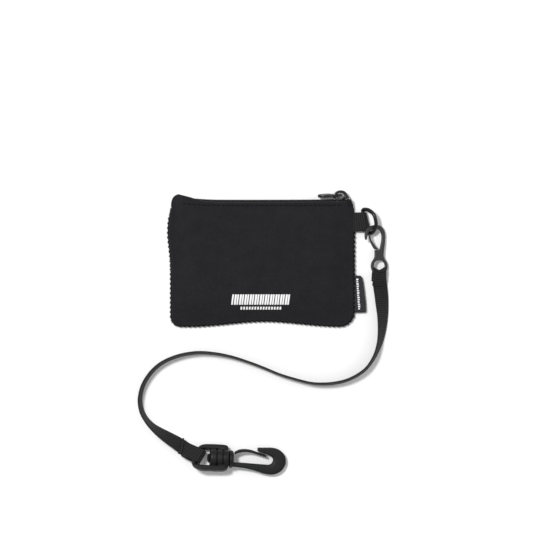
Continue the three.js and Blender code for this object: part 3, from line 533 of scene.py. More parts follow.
def mouth_rise(x):
    """How far the mouth stands above a straight line: a shallow sag, and the lifted left corner."""
    return 0.3 * np.clip((x + 7) / 40, -1.4, 1.4) ** 2 + CORNER_LIFT * np.clip((-27 - x) / 27, 0, 1.05) ** 2


def row_rise(x):
    """How far the zip stands above a straight line: it follows the lifted corner only in part."""
    return 0.45 * mouth_rise(x)


def edge_loop(count):
    """The panels' outline, anticlockwise from the middle of the right side, with its outward directions.

    A rectangle with a round corner at each end of each side; the lower side is drawn up in its middle, the
    left one swells below its upper corner, and the left end of the mouth is lifted.
    """
    corners = ((1, 1), (-1, 1), (-1, -1), (1, -1))
    sides = {1: (PANEL_RIGHT, PANEL_TOP), -1: (PANEL_LEFT, PANEL_BOTTOM)}
    points = [np.array([[PANEL_RIGHT, 0.0]])]
    for k, (sx, sy) in enumerate(corners):
        radius = CORNER_RADII[(sx, sy)]
        middle = np.array([sides[sx][0] - sx * radius, sides[sy][1] - sy * radius])
        angle = np.linspace(0, np.pi / 2, 40) + k * np.pi / 2
        points.append(middle + radius * np.stack([np.cos(angle), np.sin(angle)], 1))
    points.append(np.array([[PANEL_RIGHT, 0.0]]))
    loop = evenly(np.concatenate(points), 6001)[:-1]
    x, y = loop.T.copy()
    y += BOTTOM_RISE * eased(1 - abs(x - 2) / 50) * eased((-y - 25) / 15)
    y += (mouth_rise(x) + 1.1 * eased((-36 - x) / 14)) * eased((y - 22) / 17)
    x -= LEFT_BULGE * np.exp(-(((y - 20) / 14) ** 2)) * eased(-x / 50)
    loop = evenly(np.stack([np.append(x, x[0]), np.append(y, y[0])], 1), count + 1)[:-1]
    way = unit(np.roll(loop, -1, 0) - np.roll(loop, 1, 0))
    return loop, np.stack([way[:, 1], -way[:, 0]], 1)


def crown(x, y):
    """The front panel's rise: full in the middle and along the mouth, none along the seam."""
    up = np.clip((y - PANEL_BOTTOM) / (PANEL_TOP - PANEL_BOTTOM), 0, 1)
    run = CROWN_RUN + (MOUTH_RUN - CROWN_RUN) * up**3
    aside = np.minimum(x - PANEL_LEFT, PANEL_RIGHT - x)
    rise = CROWN * eased(aside / run) * eased((y - PANEL_BOTTOM) / CROWN_RUN)
    slack = 0.35 * np.sin(x / 17 + 0.6) * np.sin(y / 12 + 1.0) + 0.22 * np.sin(x / 7.5 - y / 9 + 2.0)
    return rise + slack * rise / CROWN


def stitch_height(x):
    """The row of topstitching, which keeps nearly straight under the lifted corner."""
    return STITCH_LINE + 0.4 * mouth_rise(x)


def front_face(x, y):
    """Height of the front panel's outer face, sunk along the row of topstitching."""
    groove = 0.42 * np.exp(-((y - stitch_height(x)) / 0.5) ** 2) * eased((53 - abs(x)) / 2)
    pucker = 0.9 + 0.8 * np.cos(2 * np.pi * x / STITCH_PITCH)
    return PANEL_THICK * 2 + PANEL_GAP + crown(x, y) - groove * pucker


outline, outward = edge_loop(EDGE_PLACES)
edge_step = np.linalg.norm(np.diff(outline, axis=0), axis=1).mean()
run = np.arange(EDGE_PLACES) * edge_step
sewn = eased((PANEL_TOP - 1.5 - outline[:, 1]) / 3)  # 1 on the three sewn sides, 0 along the mouth
scallop = SCALLOP_DEPTH * sewn * (0.5 + 0.5 * np.cos(2 * np.pi * run / SCALLOP)) ** 1.5


def panel(name, under, over, rings_over=64, rings_under=26):
    """A sheet between two faces: rings run from its middle out over the top, round the edge and back under.

    The edge is a half circle as high as the sheet is thick. Its scallops fade within 3 mm of the edge.
    """
    half = PANEL_THICK / 2
    middle = np.array([(PANEL_LEFT + PANEL_RIGHT) / 2, (PANEL_BOTTOM + PANEL_TOP) / 2])
    inset = outline - outward * (half + scallop[:, None])
    rings = []
    for share in 1 - (1 - np.linspace(0.004, 1, rings_over)) ** 1.8:
        x, y = (middle + (inset - middle) * share).T
        rings.append(np.stack([x, y, over(x, y)], 1))
    low, high = under(*inset.T), over(*inset.T)
    for angle in np.linspace(0, np.pi, 13)[1:-1]:
        flat = inset + outward * half * np.sin(angle)
        rings.append(np.column_stack([flat, (low + high) / 2 + (high - low) / 2 * np.cos(angle)]))
    for share in (1 - (1 - np.linspace(0.004, 1, rings_under)) ** 1.8)[::-1]:
        x, y = (middle + (inset - middle) * share).T
        rings.append(np.stack([x, y, under(x, y)], 1))
    return skin(name, rings)


neoprene = Finish("knit_neoprene", NEOPRENE_LIGHT, 0.93, specular=0.18, sheen=0.08)
knit = neoprene.node("ShaderNodeMapping", {"Vector": neoprene.place(), "Scale": (1.0, 0.62, 1.0)})
grain = neoprene.noise(0.9, 4, knit.outputs["Vector"])
drift = neoprene.noise(9.0, 2)
shade = neoprene.math("ADD", neoprene.math("MULTIPLY", grain, 0.8), neoprene.math("MULTIPLY", drift, 0.35))
neoprene.colour(neoprene.ramp(shade, 0, 1, 0.35, 0.85), NEOPRENE_DARK, NEOPRENE_LIGHT)
neoprene.rough(neoprene.ramp(grain, 0.86, 0.98, 0.3, 0.7))
neoprene.bump(neoprene.math("ADD", grain, neoprene.math("MULTIPLY", neoprene.noise(0.32, 2), 0.5)), 0.14)

front = panel("front_neoprene", lambda x, y: PANEL_THICK + PANEL_GAP + crown(x, y), front_face)
settle(front, "pouch", "neoprene", neoprene.material, "front_panel")
back = panel("back_neoprene", lambda x, y: 0 * x + 0.0, lambda x, y: 0 * x + PANEL_THICK, 30, 20)
settle(back, "pouch", "neoprene", neoprene.material, "back_panel")

# ---------- seam ----------
# The three closed sides are sewn through both turned-in edges with black thread, one stitch to each scallop;
# a cord of seam allowance fills the valley between the panels.
seam_part = np.flatnonzero(sewn > 0.6)
seam_gap = np.argmax(np.diff(np.append(seam_part, seam_part[0] + EDGE_PLACES)))
seam_start = seam_part[(seam_gap + 1) % len(seam_part)]
seam_line = np.roll(outline, -seam_start, 0)[: len(seam_part)]
seam_out = np.roll(outward, -seam_start, 0)[: len(seam_part)]
SEAM_Z = PANEL_THICK + PANEL_GAP / 2
cord_middle = np.column_stack([seam_line + seam_out * 0.05, np.full(len(seam_line), SEAM_Z)])
flat_out = np.column_stack([seam_out, np.zeros(len(seam_out))])
cord_round = oval(10)
from_end = np.arange(len(seam_line))
cord_size = 0.3 + 0.45 * eased(np.minimum(from_end, from_end[::-1]) / 20)
cord_rings = cord_middle[:, None] + cord_size[:, None, None] * (
    cord_round[None, :, :1] * flat_out[:, None] + cord_round[None, :, 1:] * np.array([0, 0, 1.0])
)
seam_cord = skin("seam_allowance", cord_rings)
settle(seam_cord, "pouch", "neoprene", neoprene.material)

# three threads lie side by side in each wrap, and the wraps shrink towards both ends of the seam
wrap_at = np.arange(3, len(seam_line) - 6, SCALLOP / edge_step)
wrap_at = np.concatenate([wrap_at + offset / edge_step for offset in (-0.5, 0, 0.5)]).astype(int)
wrap_foot = cord_middle[wrap_at] - flat_out[wrap_at] * 0.75
wrap_reach = 0.9 + 0.85 * eased(np.minimum(wrap_at, len(seam_line) - wrap_at) * edge_step / 9)[:, None]
seam_stitches = tack(
    "seam_stitches", wrap_foot - [0, 0, 1.5], wrap_foot + [0, 0, 1.5], flat_out[wrap_at] * wrap_reach, 0.26,
    count=11,
)
settle(seam_stitches, "pouch", "thread", thread.material, "perimeter_seam")

# ---------- zip ----------
# A nylon coil zip: two woven tapes turned in under the panels' folded edges, each with a row of coil sewn to
# it, two small clamps where it shuts and one across both rows where it opens.
ZIP_LEFT, ZIP_RIGHT = -48.5, 57.7
MOUTH_MIDDLE = 4.7
ROW_MIDDLE = 40.88  # of the coil, in Y
COIL_PITCH = 1.2
TAPE_THICK = 0.45

coil_finish = Finish("coil_nylon", (0.006, 0.006, 0.0065, 1), 0.42, specular=0.45)
coil_finish.bump(coil_finish.noise(0.3, 2), 0.02)
# the tape's weave gets painted shade too: its second, darker colour is the shade between the crowns
tape_finish = woven("zip_tape", (0.012, 0.012, 0.0125, 1), (0.003, 0.003, 0.003, 1), 0.5, 0.42, 0.04)


def joined(name, *objects):
    """Several pieces made one object."""
    with bpy.context.temp_override(active_object=objects[0], selected_editable_objects=list(objects)):
        bpy.ops.object.join()
    objects[0].name = name
    return objects[0]


def half_oval(rows, squareness):
    """Half a superellipse between its poles: the size of each row, and its place from -1 to 1."""
    angle = np.linspace(-np.pi / 2, np.pi / 2, rows + 2)[1:-1]
    size = abs(np.cos(angle)) ** (2 / squareness)
    return size, np.sign(np.sin(angle)) * abs(np.sin(angle)) ** (2 / squareness)


def soft_block(name, low, high, squareness=5.0, across=24, rows=13):
    """A block with round edges: a superellipsoid between two corners, its rings running along X."""
    low, high = np.asarray(low, float), np.asarray(high, float)
    middle, half = (low + high) / 2, (high - low) / 2
    size, reach = half_oval(rows, squareness)
    section = oval(across, squareness)
    rings = np.stack([
        np.broadcast_to(reach[:, None], (rows, across)), size[:, None] * section[None, :, 0],
        size[:, None] * section[None, :, 1],
    ], -1)
    return skin(name, middle + rings * half)


def coil_row(name, side):
    """One row of coil: a round wire wound in a flattened helix along the mouth, over a straight core."""
    turns = (ZIP_RIGHT - ZIP_LEFT) / COIL_PITCH
    t = np.linspace(0, turns, int(turns * 14))
    x = ZIP_LEFT + t * COIL_PITCH
    angle = 2 * np.pi * t + (0 if side > 0 else np.pi)
    middle = MOUTH_MIDDLE + side * (0.5 + 0.74)
    z = middle + 0.56 * np.cos(angle)
    y = ROW_MIDDLE + row_rise(x) + 0.33 * np.sin(angle)
    line = np.stack([x + 0.22 * COIL_PITCH * np.sin(angle), y, z], 1)
    along = unit(np.gradient(line, axis=0))
    side_way = unit(np.cross(along, [1.0, 0, 0]))
    up = np.cross(side_way, along)
    section = oval(6) * 0.25
    round_wire = section[None, :, :1] * side_way[:, None] + section[None, :, 1:] * up[:, None]
    wire = skin(name, line[:, None] + round_wire)
    core_x = np.linspace(ZIP_LEFT, ZIP_RIGHT, 160)[:, None]
    core_section = oval(12) * [0.3, 0.62]
    core_y = ROW_MIDDLE + row_rise(core_x) + core_section[:, 0]
    core = np.stack(np.broadcast_arrays(core_x, core_y, middle + core_section[:, 1]), -1)
    return joined(name, wire, skin(f"{name}_core", core))


def zip_tape(name, side):
    """One tape: a woven strip from inside the pouch up the panel's inner face, turned in under the coil."""
    wall = MOUTH_MIDDLE + side * 2.48
    profile = evenly(smooth([
        (32.2, wall), (36, wall), (39.4, wall), (40.0, wall - side * 0.12), (40.22, wall - side * 0.5),
        (40.3, wall - side * 0.9), (40.32, wall - side * 1.3),
    ], 200), 46)
    x = np.linspace(ZIP_LEFT - 3.0, ZIP_RIGHT + 1.4, 240)
    steps = unit(np.gradient(profile, axis=0))
    normal = np.stack([-steps[:, 1], steps[:, 0]], 1)
    outer, inner = profile + normal * TAPE_THICK / 2, profile - normal * TAPE_THICK / 2
    section = np.concatenate([outer, inner[::-1]])
    # the turned-in part grows short near both ends, where the panels close over it
    full = 0.04 + 0.96 * eased((x - ZIP_LEFT) / 7) * eased((ZIP_RIGHT - 7 - x) / 6)
    up = 40.3 + (section[None, :, 0] - 40.3) * full[:, None] + row_rise(x)[:, None]
    out = MOUTH_MIDDLE + (section[None, :, 1] - MOUTH_MIDDLE) * (0.55 + 0.45 * full[:, None])
    rings = np.stack([np.broadcast_to(x[:, None], up.shape), up, out], -1)
    across = np.concatenate([np.linspace(0, 10, 46), np.linspace(0, 10, 46)[::-1]])
    cloth = np.stack(np.broadcast_arrays(x[:, None], across[None]), -1)
    return skin(name, rings, cloth=cloth)


tape_tucks = {-1: ((56.0, 36.8, 2.7), (60.1, 41.2, 4.6)), 1: ((55.6, 37.0, 4.5), (59.7, 41.9, 6.4))}
for side, where in ((-1, "back"), (1, "front")):
    settle(coil_row(f"coil_{where}", side), "pouch", "coil", coil_finish.material, f"coil_row_{where}")
    strip = zip_tape(f"tape_{where}", side)
    tuck = soft_block(f"tape_tuck_{where}", *tape_tucks[side], 2.6)
    settle(joined(f"tape_{where}", strip, tuck), "pouch", "tape", tape_finish, f"zipper_tape_{where}")

gloss_black = Finish("gloss_black_plate", (0.005, 0.005, 0.0055, 1), 0.24, specular=0.45, coat=0.2)
gloss_black.rough(gloss_black.ramp(gloss_black.noise(1.1, 3), 0.14, 0.3, 0.3, 0.7))
gloss_black.bump(gloss_black.noise(0.6, 2), 0.012)

for name in ("bottom_stop", "top_stop_back", "top_stop_front"):
    low, high = (np.array(corner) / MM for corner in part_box(name))
    rise = row_rise((low[0] + high[0]) / 2) * np.array([0, 1, 0]) - [0, 0.2, 0]
    stop = soft_block(f"{name}_clamp", low + rise, high + rise)
    settle(stop, "pouch", "black_metal", gloss_black.material, name)

# the row of topstitching that holds the tape to the front panel, one thread bow to each stitch
TOPSTITCH_LENGTH = 2.4


def on_front(x):
    """Places on the front panel's face along the row of topstitching."""
    y = stitch_height(x)
    return np.stack([x, y, front_face(x, y) + 0.05], 1)


top_x = STITCH_PITCH * np.arange(-16, 17) - TOPSTITCH_LENGTH / 2
top_bow = np.tile([0, 0, -0.3], (len(top_x), 1))
top_stitches = tack("mouth_topstitch", on_front(top_x), on_front(top_x + TOPSTITCH_LENGTH), top_bow, 0.3)
settle(top_stitches, "pouch", "thread", thread.material, "mouth_stitch")

# ---------- slider and puller ----------
# A cast black slider: two leaf-shaped plates either side of the coil, with an arched bridge on top. The
# puller hangs from the bridge by a small frame and ends in a swelled grip with a raised rim.
def band(name, edge_a, edge_b, thick, place, closed=False, squareness=3.6, around=24):
    """A flat cast bar between two edges drawn in a plane, with a superellipse section.

    edge_a and edge_b are matching places on the two edges; place turns (across, up, out) into the pouch's
    frame. A closed band joins its end to its start and makes a ring.
    """
    middle, half = (edge_a + edge_b) / 2, (edge_a - edge_b) / 2
    section = oval(around, squareness)
    thick = np.broadcast_to(thick, len(middle))
    flat = middle[:, None] + half[:, None] * section[None, :, :1]
    out = section[None, :, 1] * thick[:, None] / 2
    points = place(np.concatenate([flat, out[..., None]], -1))
    return skin(name, points, loop=closed)


def leaf(name, outline_at, thick, place, rows=7, squareness=4.0):
    """A flat cast plate inside one outline: rings shrink from its edge to its middle over a rounded rim."""
    middle = outline_at.mean(0)
    size, height = half_oval(2 * rows + 1, squareness)
    reach = np.linalg.norm(outline_at - middle, axis=1).min()
    share = 1 - (1 - size) * min(1.0, 1.2 * thick / reach)
    flat = middle + (outline_at - middle)[None] * share[:, None, None]
    out = np.broadcast_to(height[:, None, None] * thick / 2, flat.shape[:2] + (1,))
    points = place(np.concatenate([flat, out], -1))
    return skin(name, points)


def fused(obj, voxel, rounds):
    """The overlapping shells of a casting made one skin, with every corner rounded off.

    A voxel grid of the given size in millimetres takes their outside, and rounds of smoothing soften it.
    """
    grid = obj.modifiers.new("fuse", "REMESH")
    grid.mode = "VOXEL"
    grid.voxel_size = voxel * MM
    grid.use_smooth_shade = True
    soften = obj.modifiers.new("soften", "SMOOTH")
    soften.factor = 0.5
    soften.iterations = rounds
    depsgraph = bpy.context.evaluated_depsgraph_get()
    mesh = bpy.data.meshes.new_from_object(obj.evaluated_get(depsgraph))
    obj.modifiers.clear()
    obj.data = mesh
    mesh.shade_smooth()
    return obj


SLIDER_X = 53.0
PLATE_LOW, PLATE_HIGH = 42.0, 42.9


def standing(points):
    """A plane that stands across the mouth: across is X, up is Y and out is Z from the mouth's middle."""
    return np.stack([points[..., 0], points[..., 1], points[..., 2] + MOUTH_MIDDLE], -1)


def lying(height):
    """A plane across the mouth's depth: across is X, up is Z from the mouth's middle, and out is Y."""
    return lambda points: np.stack([
        points[..., 0] + SLIDER_X, points[..., 2] + height, points[..., 1] + MOUTH_MIDDLE
    ], -1)


leaf_outline = smooth([
    (-4.5, 0), (-4.4, -2.0), (-1.5, -2.6), (1.6, -3.1), (3.8, -2.7), (4.5, -1.2), (4.5, 1.2), (3.8, 2.7),
    (1.6, 3.1), (-1.5, 2.6), (-4.4, 2.0),
], 96, closed=True)
upper_plate = leaf("slider_upper", leaf_outline, 0.9, lying((PLATE_LOW + PLATE_HIGH) / 2))
lower_plate = leaf("slider_lower", leaf_outline * [0.72, 0.54], 0.9, lying(39.15))
post = soft_block("slider_post", (53.4, 38.7, 4.35), (55.2, 42.4, 5.05), 4)
bridge_outer = smooth([
    (47.2, 42.5), (47.6, 44.7), (49.0, 46.6), (51.4, 47.6), (53.9, 47.5), (55.7, 46.5), (56.9, 44.7),
    (57.9, 42.5), (52.6, 42.3),
], 120, closed=True)
bridge_inner = smooth([
    (49.5, 43.8), (49.5, 44.6), (50.3, 45.4), (51.7, 45.9), (53.3, 45.8), (54.1, 45.2), (54.5, 44.4),
    (54.5, 43.7), (52.2, 43.5),
], 120, closed=True)
bridge = band("slider_bridge", bridge_outer, bridge_inner, 1.9, standing, closed=True)
slider = fused(joined("slider_casting", upper_plate, lower_plate, post, bridge), 0.12, 4)
settle(slider, "slider", "black_metal", gloss_black.material, "slider_body")

PULL_HINGE = np.array([52.8, 44.65, MOUTH_MIDDLE])
pull_turn = turned(heading=3.0) @ turned(pitch=10.0)


def hanging(points):
    """The puller's own plane: across is along -X from its hinge, up is its width along Z, out is Y."""
    flat = np.stack([points[..., 0], points[..., 2], points[..., 1]], -1)
    return flat @ pull_turn.T + PULL_HINGE


frame_outer = smooth([
    (0.7, 0), (0.4, 1.8), (-1.5, 2.3), (-6.5, 2.8), (-8.5, 2.6), (-9.2, 0), (-8.5, -2.6), (-6.5, -2.8),
    (-1.5, -2.3), (0.4, -1.8),
], 120, closed=True)
frame_inner = smooth([
    (-0.55, 0), (-0.7, 1.05), (-1.6, 1.25), (-5.6, 1.6), (-6.4, 1.2), (-6.5, 0), (-6.4, -1.2), (-5.6, -1.6),
    (-1.6, -1.25), (-0.7, -1.05),
], 120, closed=True)
pull_frame = band("pull_frame", frame_outer, frame_inner, 1.15, hanging, closed=True)
grip_outline = smooth([
    (-6.6, 0), (-7.0, 2.2), (-9.5, 2.9), (-12.5, 2.8), (-15.0, 1.7), (-15.8, 0), (-15.0, -1.7), (-12.5, -2.8),
    (-9.5, -2.9), (-7.0, -2.2),
], 120, closed=True)
grip = leaf("pull_grip", grip_outline, 1.5, hanging)
grip_middle = grip_outline.mean(0)
rim_outer, rim_inner = (grip_middle + (grip_outline - grip_middle) * size for size in (0.99, 0.8))
rim = band("pull_rim", rim_outer, rim_inner, 2.0, hanging, closed=True, squareness=2.4)
rib_edge = np.array([(0, -1.3), (0, 1.3)])
ribs = [
    band(f"pull_rib_{k}", rib_edge + [x - 0.35, 0], rib_edge + [x + 0.35, 0], 1.95, hanging, squareness=2.2)
    for k, x in enumerate((-9.4, -11.2, -13.0))
]
pull = fused(joined("puller_casting", pull_frame, grip, rim, *ribs), 0.13, 3)
gunmetal = Finish("gunmetal_plate", (0.014, 0.014, 0.015, 1), 0.26, metal=0.3, specular=0.6)
gunmetal.rough(gunmetal.ramp(gunmetal.noise(0.9, 3), 0.2, 0.38, 0.3, 0.7))
gunmetal.bump(gunmetal.noise(0.5, 2), 0.015)
settle(pull, "pull", "black_metal", gunmetal.material, "puller")

# ---------- print ----------
# A thin white screen print on the front panel: a block of slanted bars and a line of short dashes under it.
# It's a generic mark and spells nothing.
ink = Finish("white_ink", (0.80, 0.80, 0.80, 1), 0.7, specular=0.25)
ink.bump(ink.noise(0.35, 3), 0.03)


INK_TOP, INK_THICK = 0.34, 0.29
PRINT_SLANT = 0.9


def printed(corners):
    """One flat printed shape that follows the panel: a grid over four corners, with a low closed body."""
    corners = np.asarray(corners, float)
    u, v = np.meshgrid(np.linspace(0, 1, 12), np.linspace(0, 1, 12), indexing="ij")
    share = np.stack([(1 - u) * (1 - v), u * (1 - v), u * v, (1 - u) * v], -1)
    spot = share @ corners
    base = front_face(spot[..., 0], spot[..., 1])
    top = np.concatenate([spot, (base + INK_TOP)[..., None]], -1)
    low = np.concatenate([spot, (base + INK_TOP - INK_THICK)[..., None]], -1)
    return np.concatenate([low[:, :1], top, low[:, -1:]], 1)


bars = []
bar_edges = np.linspace(-20.5, 18.3, 24)
for k, (start, end) in enumerate(zip(bar_edges[:-1], bar_edges[1:])):
    start, end = start + 0.05, end - (0.3 if k % 2 else 0.55)
    bars.append([(start, -28.4), (end, -28.4), (end + PRINT_SLANT, -21.5), (start + PRINT_SLANT, -21.5)])
dash_edges = np.linspace(-14.7, 13.0, 16)
for start, end in zip(dash_edges[:-1], dash_edges[1:]):
    bars.append([(start + 0.35, -31.6), (end - 0.35, -31.6), (end - 0.15, -29.7), (start + 0.55, -29.7)])
ink_bars = skin("front_print", np.stack([printed(corners) for corners in bars]))
settle(ink_bars, "pouch", "", ink.material)

# ---------- tab, ring and label ----------
# A short doubled tab of webbing, folded round the ring's bar and held in the side seam.
RING_AT = np.array([68.7, 26.6, 2.5])
RING_WIRE = 1.27
RING_HEADING = 12.7
ring_turn = turned(roll=-37.0, heading=RING_HEADING)
bar_way = np.array([-np.sin(np.radians(RING_HEADING)), np.cos(np.radians(RING_HEADING)), 0])
TAB_HALF, TAB_THICK = 6.4, 0.9
TAB_ROOT = 57.3  # where the tab enters the side seam, in X
SEAM_MIDDLE = 2.15  # the height at which the tab and the label are held in the seam

tab_rows = []
for share in np.linspace(-1, 1, 60):
    middle = RING_AT + bar_way * (share * TAB_HALF / bar_way[1])
    reach = RING_WIRE + 0.12 + TAB_THICK / 2
    angle = np.linspace(np.pi * 0.62, -np.pi * 0.62, 34)
    bend = middle + reach * np.stack([np.cos(angle), 0 * angle, np.sin(angle)], 1)
    top_run = np.linspace((TAB_ROOT, middle[1], SEAM_MIDDLE + 0.5), bend[0] - [1.6, 0, 0.5], 30)
    low_run = np.linspace(bend[-1] - [1.6, 0, -0.3], (TAB_ROOT, middle[1], SEAM_MIDDLE - 0.5), 30)
    tab_rows.append(evenly(smooth(np.concatenate([top_run[::5], bend[::3], low_run[::5]]), 260), 130))
tab_rows = np.array(tab_rows)
tab_out = unit(np.cross(np.gradient(tab_rows, axis=1), bar_way))
tab_share = np.linspace(-1, 1, 60)[:, None, None]
half_thick = TAB_THICK / 2 * np.sqrt(np.clip(1 - tab_share ** 12, 0.06, 1))
outer_face, inner_face = tab_rows + tab_out * half_thick, tab_rows - tab_out * half_thick
tab_loop = np.concatenate([outer_face, inner_face[:, ::-1]], 1)
along_tab = np.concatenate([np.linspace(0, 27, 130), np.linspace(27, 0, 130)])
tab_cloth = np.stack(np.broadcast_arrays(along_tab[None], TAB_HALF * np.linspace(-1, 1, 60)[:, None]), -1)
tab = skin("ring_tab", tab_loop, cloth=tab_cloth)
settle(tab, "pouch", "webbing", webbing, "webbing_tab")

# A bent wire ring with one straight side, gloss black.
side, turn, depth = 8.3, 1.6, 8.55
ring_path = smooth([
    (0, -side + turn), (0, -4), (0, 0), (0, 4), (0, side - turn), (0.35, side - 0.35), (turn, side),
    (4.3, side - 0.75), (6.6, side - 2.6), (8.2, 3.2), (depth, 0), (8.2, -3.2), (6.6, 2.6 - side),
    (4.3, 0.75 - side), (turn, -side), (0.35, 0.35 - side),
], 220, closed=True)
ring_out = unit(np.stack([np.gradient(ring_path[:, 1]), -np.gradient(ring_path[:, 0])], 1))
ring_path, ring_out = (np.pad(flat, ((0, 0), (0, 1)))[:, None] for flat in (ring_path, ring_out))
wire = oval(24) * RING_WIRE
ring_rings = ring_path + wire[None, :, :1] * ring_out + wire[None, :, 1:] * [0, 0, 1.0]
d_ring = skin("ring_wire", ring_rings @ ring_turn.T + RING_AT, loop=True)
ring_finish = Finish("gloss_black_ring", (0.003, 0.003, 0.0033, 1), 0.22, specular=0.32, coat=0.12)
ring_finish.rough(ring_finish.ramp(ring_finish.noise(1.4, 3), 0.15, 0.3, 0.3, 0.7))
settle(d_ring, "ring", "black_metal", ring_finish.material, "d_ring")

# A folded woven label in the side seam, satin black, with a generic row of white woven dashes.
label_line = smooth([
    (57.2, -9.0), (60.5, -9.0), (64.2, -9.05), (65.6, -9.2), (66.6, -10.3), (67.3, -13), (68.3, -20),
    (69.1, -28), (69.3, -32.4), (69.0, -33.4), (67.8, -33.7), (60, -33.75), (57.2, -33.7),
], 260, closed=True)
label_finish = Finish("woven_label", (0.010, 0.0095, 0.012, 1), 0.62, specular=0.3, sheen=0.08)
twill = label_finish.node("ShaderNodeMapping", {"Vector": label_finish.place(), "Scale": (1.0, 0.3, 1.0)})
twill_grain = label_finish.noise(0.22, 3, twill.outputs["Vector"])
label_finish.colour(twill_grain, (0.006, 0.006, 0.008, 1), (0.016, 0.015, 0.019, 1))
label_finish.bump(twill_grain, 0.06)
label = leaf("seam_label", label_line, 0.75, lambda points: points + [0, 0, SEAM_MIDDLE], 8, 5.0)
settle(label, "pouch", "label", label_finish.material, "side_label")
dash_y = np.linspace(-10.9, -31.9, 15)
dashes = []
for k, (high, low) in enumerate(zip(dash_y[:-1], dash_y[1:])):
    x = 62.7 + 0.068 * (-10.7 - high)
    gap = 0.32 if k % 2 else 0.2
    box_low = (x, low + gap, SEAM_MIDDLE + 0.30)
    box_high = (x + 1.5 - 0.3 * (k % 3 == 1), high - gap, SEAM_MIDDLE + 0.44)
    dashes.append(soft_block(f"label_dash_{k}", box_low, box_high, 6.0, 16, 7))
settle(joined("label_dashes", *dashes), "pouch", "", ink.material)

# ---------- snap hook ----------
# A flat cast hook with an eye for the strap, one rounded skin from eye to nose, dark satin. Its gate is a
# thin sprung leaf rooted in the neck.
HOOK_THICK = 1.9


def hooked(points):
    """From the hook's own plane, with the eye's bar at the origin, into the pouch's frame."""
    return points @ HOOK_TURN.T + HOOK_AT


hook_outer = smooth([
    (3.3, 13.5), (3.6, 16), (3.9, 18), (4.45, 24), (3.9, 28.3), (2.1, 31.1), (-1, 32.3), (-5, 31.9),
    (-8.3, 30.2), (-9.9, 27.4), (-10.2, 24.6), (-9.8, 22.3),
], 150)
hook_inner = smooth([
    (0.2, 13.5), (0.4, 16), (1.0, 18.6), (1.8, 23), (1.6, 26.4), (0.4, 28.7), (-2.2, 29.7), (-5, 29.2),
    (-7.2, 27.6), (-8.1, 25.5), (-8.5, 24), (-8.9, 22.3),
], 150)
hook_band = band("hook_band", hook_outer, hook_inner, HOOK_THICK, hooked)
neck_left = smooth([(-4.6, 8.6), (-3.6, 10.4), (-3.2, 12.4), (-3.3, 15.6)], 40)
neck_right = smooth([(4.6, 8.6), (3.6, 10.4), (3.2, 12.4), (3.5, 15.6)], 40)
neck = band("hook_neck", neck_right, neck_left, HOOK_THICK, hooked, squareness=5.0)
EYE_AT = [0, 4.9]
eye_outer, eye_inner = (oval(120) * radius + EYE_AT for radius in (6.0, 3.95))
eye_ring = band("hook_eye", eye_outer, eye_inner, HOOK_THICK, hooked, closed=True)
snap_hook = fused(joined("snap_hook_casting", hook_band, neck, eye_ring), 0.17, 5)
satin = Finish("satin_hook", (0.022, 0.022, 0.0235, 1), 0.42, specular=0.45)
satin.rough(satin.ramp(satin.noise(1.2, 4), 0.34, 0.55, 0.3, 0.7))
satin.bump(satin.noise(0.35, 3), 0.03)
settle(snap_hook, "lanyard", "hook_metal", satin.material, "snap_hook_body")

gate_left = smooth([(-3.3, 15.95), (-4.8, 17.9), (-6.3, 20.8), (-7.1, 23.4), (-7.4, 25.9)], 90)
gate_right = smooth([(0.1, 16.0), (-2.8, 18.5), (-4.8, 21.3), (-5.9, 23.6), (-6.4, 26.0)], 90)
snap_leaf = fused(band("snap_gate_leaf", gate_right, gate_left, 1.0, hooked, squareness=3.0), 0.1, 2)
settle(snap_leaf, "snap_gate", "hook_metal", satin.material, "snap_hook_gate")

# ---------- swivel hook ----------
# A moulded base with a window for the strap and a ribbed barrel, and a clip that turns in it on a stem with
# a snap head. All in matt black plastic with softened edges.
clip_turn = turned(roll=5.6, heading=-2.9)
base_turn = clip_turn @ turned(pitch=-25.0)


def on_base(points):
    """From the base's own frame, crossbar along Y and barrel towards +X, into the pouch's frame."""
    return (points + [0, 0.4, 0]) @ base_turn.T + BASE_AT


def on_clip(points):
    """The same frame as the base's, before the base leans on its side."""
    return points @ clip_turn.T + BASE_AT


def lathe(name, profile, place, around=64):
    """A turned piece: each (x, radius) pair of the profile is one ring about the X axis."""
    profile = np.asarray(profile, float)
    section = oval(around)
    rings = np.stack([
        np.broadcast_to(profile[:, :1], (len(profile), around)), profile[:, 1:] * section[None, :, 0],
        profile[:, 1:] * section[None, :, 1],
    ], -1)
    return skin(name, place(rings))


half = 9.05
rail_outer = smooth([
    (23.2, 5.0), (22.8, 7.6), (21.2, 8.75), (17.5, half), (11, half), (6.5, 8.7), (4.0, 7.7), (2.2, 6.2),
    (0.6, 4.6), (-0.8, 2.4), (-1.4, -2.2), (-1.2, -4.6), (-0.2, -6.4), (2.2, -8.0), (5.9, -half), (11, -half),
    (17.5, -half), (20.6, -8.6), (22.4, -7.4), (23.0, -5.0),
], 300)
rail_inner = smooth([
    (22.8, 3.0), (20, 4.6), (17.5, 5.4), (14.5, 5.7), (10.6, 5.7), (7.0, 5.7), (4.4, 5.6), (2.6, 5.3),
    (2.0, 3.8), (1.5, 1.4), (1.4, -2.4), (1.6, -4.4), (2.6, -5.3), (4.4, -5.6), (7.0, -5.7), (10.6, -5.7),
    (14.5, -5.7), (17.5, -5.4), (20, -4.6), (22.8, -3.0),
], 300)
rail_middle = (rail_outer + rail_inner) / 2
rail_thick = 3.0 + 2.2 * eased((abs(rail_middle[:, 1]) - 4.6) / 2.2)
rails = band("base_rails", rail_outer, rail_inner, rail_thick, on_base, squareness=4.5, around=32)
BARREL_START, BARREL_END, BARREL_RADIUS = 10.6, 23.2, 5.95
BARREL_GROOVES = (15.1, 19.2)
